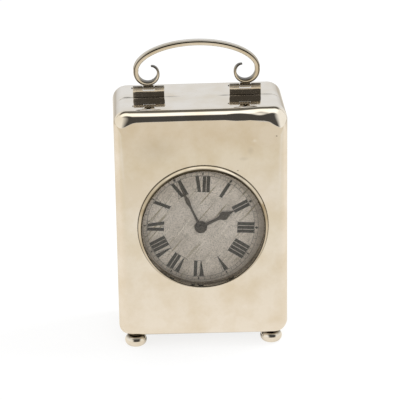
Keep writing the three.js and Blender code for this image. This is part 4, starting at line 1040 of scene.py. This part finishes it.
def hand_shape(rows, hub, bore, clockwise, eased_steps=6):
    """A hand through (height, half-width) rows, turned clockwise from twelve by these degrees."""
    right = []
    for (low, wide), (high, next_wide) in zip(rows, rows[1:]):
        for share in spread(0, 1, eased_steps)[:-1]:
            right.append((wide + (next_wide - wide) * eased(share), low + (high - low) * share))
    right.append((rows[-1][1], rows[-1][0]))
    shape = sheet_cut(right + [(-x, z) for x, z in reversed(right)], 0, hand_thickness, 0.06)
    boss = [(bore, -0.02), (hub * 0.62, -0.02), (hub * 0.66, 0.06), (hub - 0.22, 0.06), (hub - 0.14, -0.01)]
    boss += [(hub - 0.06, 0.0), (hub, 0.08), (hub, hand_thickness), (bore, hand_thickness)]
    absorb(shape, spun(boss, "Y", 56))
    bmesh.ops.rotate(
        shape, cent=(0, 0, 0), matrix=Matrix.Rotation(radians(clockwise), 3, "Y"), verts=shape.verts)
    return shape


# %% [markdown]
# The hour hand has a broad leaf near its point, the minute hand a slim one. Curves could trace them, but a
# few half-widths are easier to correct against the photograph.
# %% Hands
hour_y, minute_y = front_y + 2.65, front_y + 1.75
hour_rows = [
    (1.6, 0.56), (6.4, 0.48), (7.3, 0.62), (8.9, 1.6), (9.5, 1.66), (10.9, 1), (12, 0.4), (13.35, 0.12)]
minute_rows = [
    (1.3, 0.48), (7.5, 0.38), (9.2, 0.44), (10.9, 0.78), (11.6, 0.76), (14, 0.36), (17, 0.24), (19.55, 0.1)]
for name, rows, hub, bore, clockwise, y in (
        ("hour_hand", hour_rows, 2.3, 1.3, 64.0, hour_y),
        ("minute_hand", minute_rows, 1.7, 0.9, -24.0, minute_y)):
    hand = moved(hand_shape(rows, hub, bore, clockwise), dial_x, y, dial_z)
    finish(f"{name}_filed", hand, hand_steel, [name])

# %% [markdown]
# A small domed collet holds the minute hand on its arbor. A cylinder would look flat so near the glass, so
# its dome is turned.
# %% Collet
collet_profile = [(0.55, -0.5), (0.85, -0.55), (1.1, -0.48), (1.25, -0.3), (1.25, -0.03), (0.55, -0.03)]
collet = moved(spun(collet_profile, "Y", 40), dial_x, minute_y, dial_z)
finish("hand_collet_turned", collet, hand_steel, ["hand_collet"])

# %% [markdown]
# The handle is a strip of silver, crowned on its outer face, bent to an arch that curls into a scroll at
# each end and thins to its tip. A curve with a bevel could make it, but a section carried along the line,
# extruded step by step, gives a mesh whose thickness can taper.
# %% Handle line
pin_low, pin_high = [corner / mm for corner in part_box("handle_pin_right")]
hinge_spacing, handle_x = 34.9, -0.5
hinge_top_z, handle_y = (pin_low.z + pin_high.z) / 2, (pin_low.y + pin_high.y) / 2
arch_half_span, arch_rise, arch_end_rise, arch_thickness = 21.9, 17.6, 6.9, 1.85
tip_thickness, scroll_tip_radius, scroll_tip_angle = 0.7, 2.3, 116.0
arch_fullness, scroll_curl = 1.9, 3.1
# The strip starts this far above the pins, on the middle knuckles.
knuckle_radius, knuckle_saddle, saddle_gap = 0.7, 0.25, 0.05


def handle_line(arch_steps=44, scroll_steps=72):
    """(x, z, thickness) from the crown to the tip of the right scroll."""
    line = []
    crown = arch_rise - arch_thickness / 2
    for i in range(arch_steps):
        angle = quarter * i / arch_steps
        z = arch_end_rise + (crown - arch_end_rise) * cos(angle) ** (2 / arch_fullness)
        line.append((arch_half_span * sin(angle), z, arch_thickness))
    radius = arch_half_span - hinge_spacing / 2
    saddle = knuckle_radius + knuckle_saddle + saddle_gap
    centre = (hinge_spacing / 2, saddle + (arch_thickness + tip_thickness) / 4 + radius)
    first = atan2(arch_end_rise - centre[1], arch_half_span - centre[0])
    sweep = first + full_turn - radians(scroll_tip_angle)
    for share in spread(0, 1, scroll_steps):
        here = radius - (radius - scroll_tip_radius) * share ** scroll_curl
        angle = first - sweep * share
        thickness = arch_thickness + (tip_thickness - arch_thickness) * share
        line.append((centre[0] + here * cos(angle), centre[1] + here * sin(angle), thickness))
    return line


# %% [markdown]
# The section has many points near its corners, because the thin bright and dark lines along the real handle
# come from there. Each place on the line gets its own ring, across the line's direction.
# %% Handle strip
strip_width, fine_tip, tip_width_share, tip_rings = 3.3, 0.32, 0.6, 34


def strip_section(width_share):
    """(across, outwards) points of a strip of unit thickness: crowned outside, round at its edges."""
    half = strip_width / 2 * width_share
    outer = [(0, 0.5), (0.5, 0.49), (0.72, 0.465), (0.85, 0.42), (0.93, 0.34), (0.98, 0.2), (1, 0.05)]
    inner = [(1, -0.15), (0.98, -0.32), (0.93, -0.43), (0.84, -0.48), (0.6, -0.5), (0, -0.5)]
    right = [(half * x, out) for x, out in outer + inner]
    return right + [(-x, out) for x, out in reversed(right[1:-1])]


def strip_ring(line, i):
    """The section's points at one place on the line. Towards each end the strip narrows and thins."""
    x, z, thickness = line[i]
    before, after = line[max(0, i - 1)], line[min(len(line) - 1, i + 1)]
    along = Vector((after[0] - before[0], 0, after[1] - before[1])).normalized()
    outwards = Vector((-along.z, 0, along.x))
    share = max(0, 1 - min(i, len(line) - 1 - i) / tip_rings) ** 2
    thickness = thickness + (fine_tip - thickness) * share
    width_share = 1 + (tip_width_share - 1) * share
    return [Vector((x, a, z)) + outwards * (o * thickness) for a, o in strip_section(width_share)]


right_half = handle_line()
handle_points = [(-x, z, t) for x, z, t in reversed(right_half[1:])] + right_half
strip, _ = skin([strip_ring(handle_points, i) for i in range(len(handle_points))])
bmesh.ops.holes_fill(strip, edges=strip.edges[:], sides=0)
bmesh.ops.recalc_face_normals(strip, faces=strip.faces)
moved(strip, handle_x, handle_y, hinge_top_z)
handle = finish("carry_handle_strip", strip, strip_silver, ["carry_handle"], smooth_to=50)
print("handle", len(handle_points), "rings")

# %% [markdown]
# The strip is painted darker in places. Along its corners this is a painted dark reflection, like the thin
# dark lines of the real strip. On its inner side, more so towards the scrolls, and on the scrolls' tips it
# is tarnish with painted shade, and the crown is dulled a little, all but its middle line. The rings and the
# points of the section tell where each point is.
# %% Tarnish and painted shade on the handle
section = strip_section(1)


def strip_tarnish_and_shade(index, place):
    ring, spot_on_it = divmod(index, len(section))
    across_by, out_by = section[spot_on_it]
    from_end = min(ring, len(handle_points) - 1 - ring)
    share = (26 - from_end) / 14
    if 0.15 < out_by < (0.45 if across_by > 0 else 0.38):
        share = max(share, 1.0)
    elif out_by <= -0.43:
        share = max(share, (78 - from_end) / 25, 0.45)
    elif out_by > 0.4 and across_by:
        share = max(share, 0.35)
    return 0.85 * share


tarnish_and_shade(handle, strip_tarnish_and_shade)

# %% [markdown]
# Each hinge is an upright leaf soldered to the top, with two knuckles rolled at its upper edge. The
# handle's own knuckle sits between them on a steel pin. A dark line is painted along the top of the
# knuckles, as a painted dark reflection, and along their foot where they meet the leaf, as painted shade;
# the middle knuckle's block, under the scroll, is painted dark too.
# %% Leaf of a handle hinge
leaf_width, leaf_thickness, middle_knuckle, leaf_pin_radius, leaf_pin_bore = 11.3, 0.8, 3.9, 0.3, 0.4
leaf_foot = case_high - hinge_top_z
half_leaf, half_gap = leaf_width / 2, middle_knuckle / 2 + running_gap
leaf_top_drop, leaf_rounding = 0.35, 0.07


def crosswise_knuckle(left, right):
    return knuckle("X", left, right, knuckle_radius, leaf_pin_bore, 0.14)


def leaf_shape():
    clear = knuckle_radius + knuckle_saddle + running_gap
    outline = [
        (-half_leaf, leaf_foot), (half_leaf, leaf_foot), (half_leaf, 0), (half_gap, 0),
        (half_gap, -clear), (-half_gap, -clear), (-half_gap, 0), (-half_leaf, 0)]
    shape = sheet_cut(outline, -leaf_thickness / 2, leaf_thickness / 2)
    upper = [f for f in shape.faces if f.calc_center_median().z > -0.01]
    bmesh.ops.translate(shape, vec=(0, 0, -leaf_top_drop), verts=list({v for f in upper for v in f.verts}))
    soften(shape, [e for e in shape.edges if e.calc_length() > 0.5], leaf_rounding)
    absorb(shape, crosswise_knuckle(-half_leaf, -half_gap))
    absorb(shape, crosswise_knuckle(half_gap, half_leaf))
    return shape


# Painted dark reflection along the knuckles' tops and painted shade at their foot, by height.
def barrel_shade_lines(index, place):
    height = place.z - hinge_top_z
    return max((height - 0.36) / 0.14, (-0.42 - height) / 0.14 if height > -0.75 else 0)


# %% [markdown]
# Left and right are the same three pieces at two places, so a loop makes them. The middle knuckle has a
# small block on top, by which it is soldered under the scroll.
# %% Handle hinges
left_end, right_end = -half_leaf - 0.6, half_leaf + 0.12
half_block = middle_knuckle / 2 - 0.1
for name, side in (("left", -1), ("right", 1)):
    place = (handle_x + side * hinge_spacing / 2, handle_y, hinge_top_z)
    leaf = moved(leaf_shape(), *place)
    leaf = finish(f"hinge_leaf_{name}_rolled", leaf, trim_silver, [f"hinge_leaf_{name}"])
    tarnish_and_shade(leaf, barrel_shade_lines)
    middle = crosswise_knuckle(-middle_knuckle / 2, middle_knuckle / 2)
    absorb(middle, brick((-half_block, half_block), (-0.38, 0.38), (0.42, 0.95), 0.06))
    middle = finish(
        f"handle_knuckle_{name}_rolled", moved(middle, *place), trim_silver, [f"handle_knuckle_{name}"])
    tarnish_and_shade(middle, barrel_shade_lines)
    leaf_pin = moved(pin("X", leaf_pin_radius, left_end, right_end, 0.1), *place)
    finish(f"handle_pin_{name}_turned", leaf_pin, steel, [f"handle_pin_{name}"])

# %% [markdown]
# The movement keeps its CAD shapes, which already have their teeth. It only needs its finishes: grained
# gilt plates, polished wheels, grey steel arbors and blued screws.
# %% Movement finishes
paint_of = {"brass": brass, "steel": steel, "blued_steel": blued_steel, "silver": trim_silver,
            "silvered_dial": dial_finish, "clear_glass": glass_paint}
for name, node in frame["nodes"].items():
    paint = paint_of[slot_of[name]]
    if paint == brass and ("wheel" in name or name in ("cannon_pinion", "winding_key")):
        paint = wheel_brass
    if name == "centre_arbor":
        paint = hand_steel
    node.data.materials.clear()
    node.data.materials.append(paint)
print("movement", len(frame["nodes"]), "nodes painted")

# %% [markdown]
# Last come the sizes of what was made: each new piece's box in millimetres and its number of faces. The
# imported nodes stay in the scene, hidden, so that the dressed clock can be set against the imported one.
# %% Sizes
for piece in new_pieces:
    low, high = [
        [round(end(v.co[i] for v in piece.data.vertices) / mm, 2) for i in range(3)] for end in (min, max)]
    print(piece.name, low, high, len(piece.data.polygons))
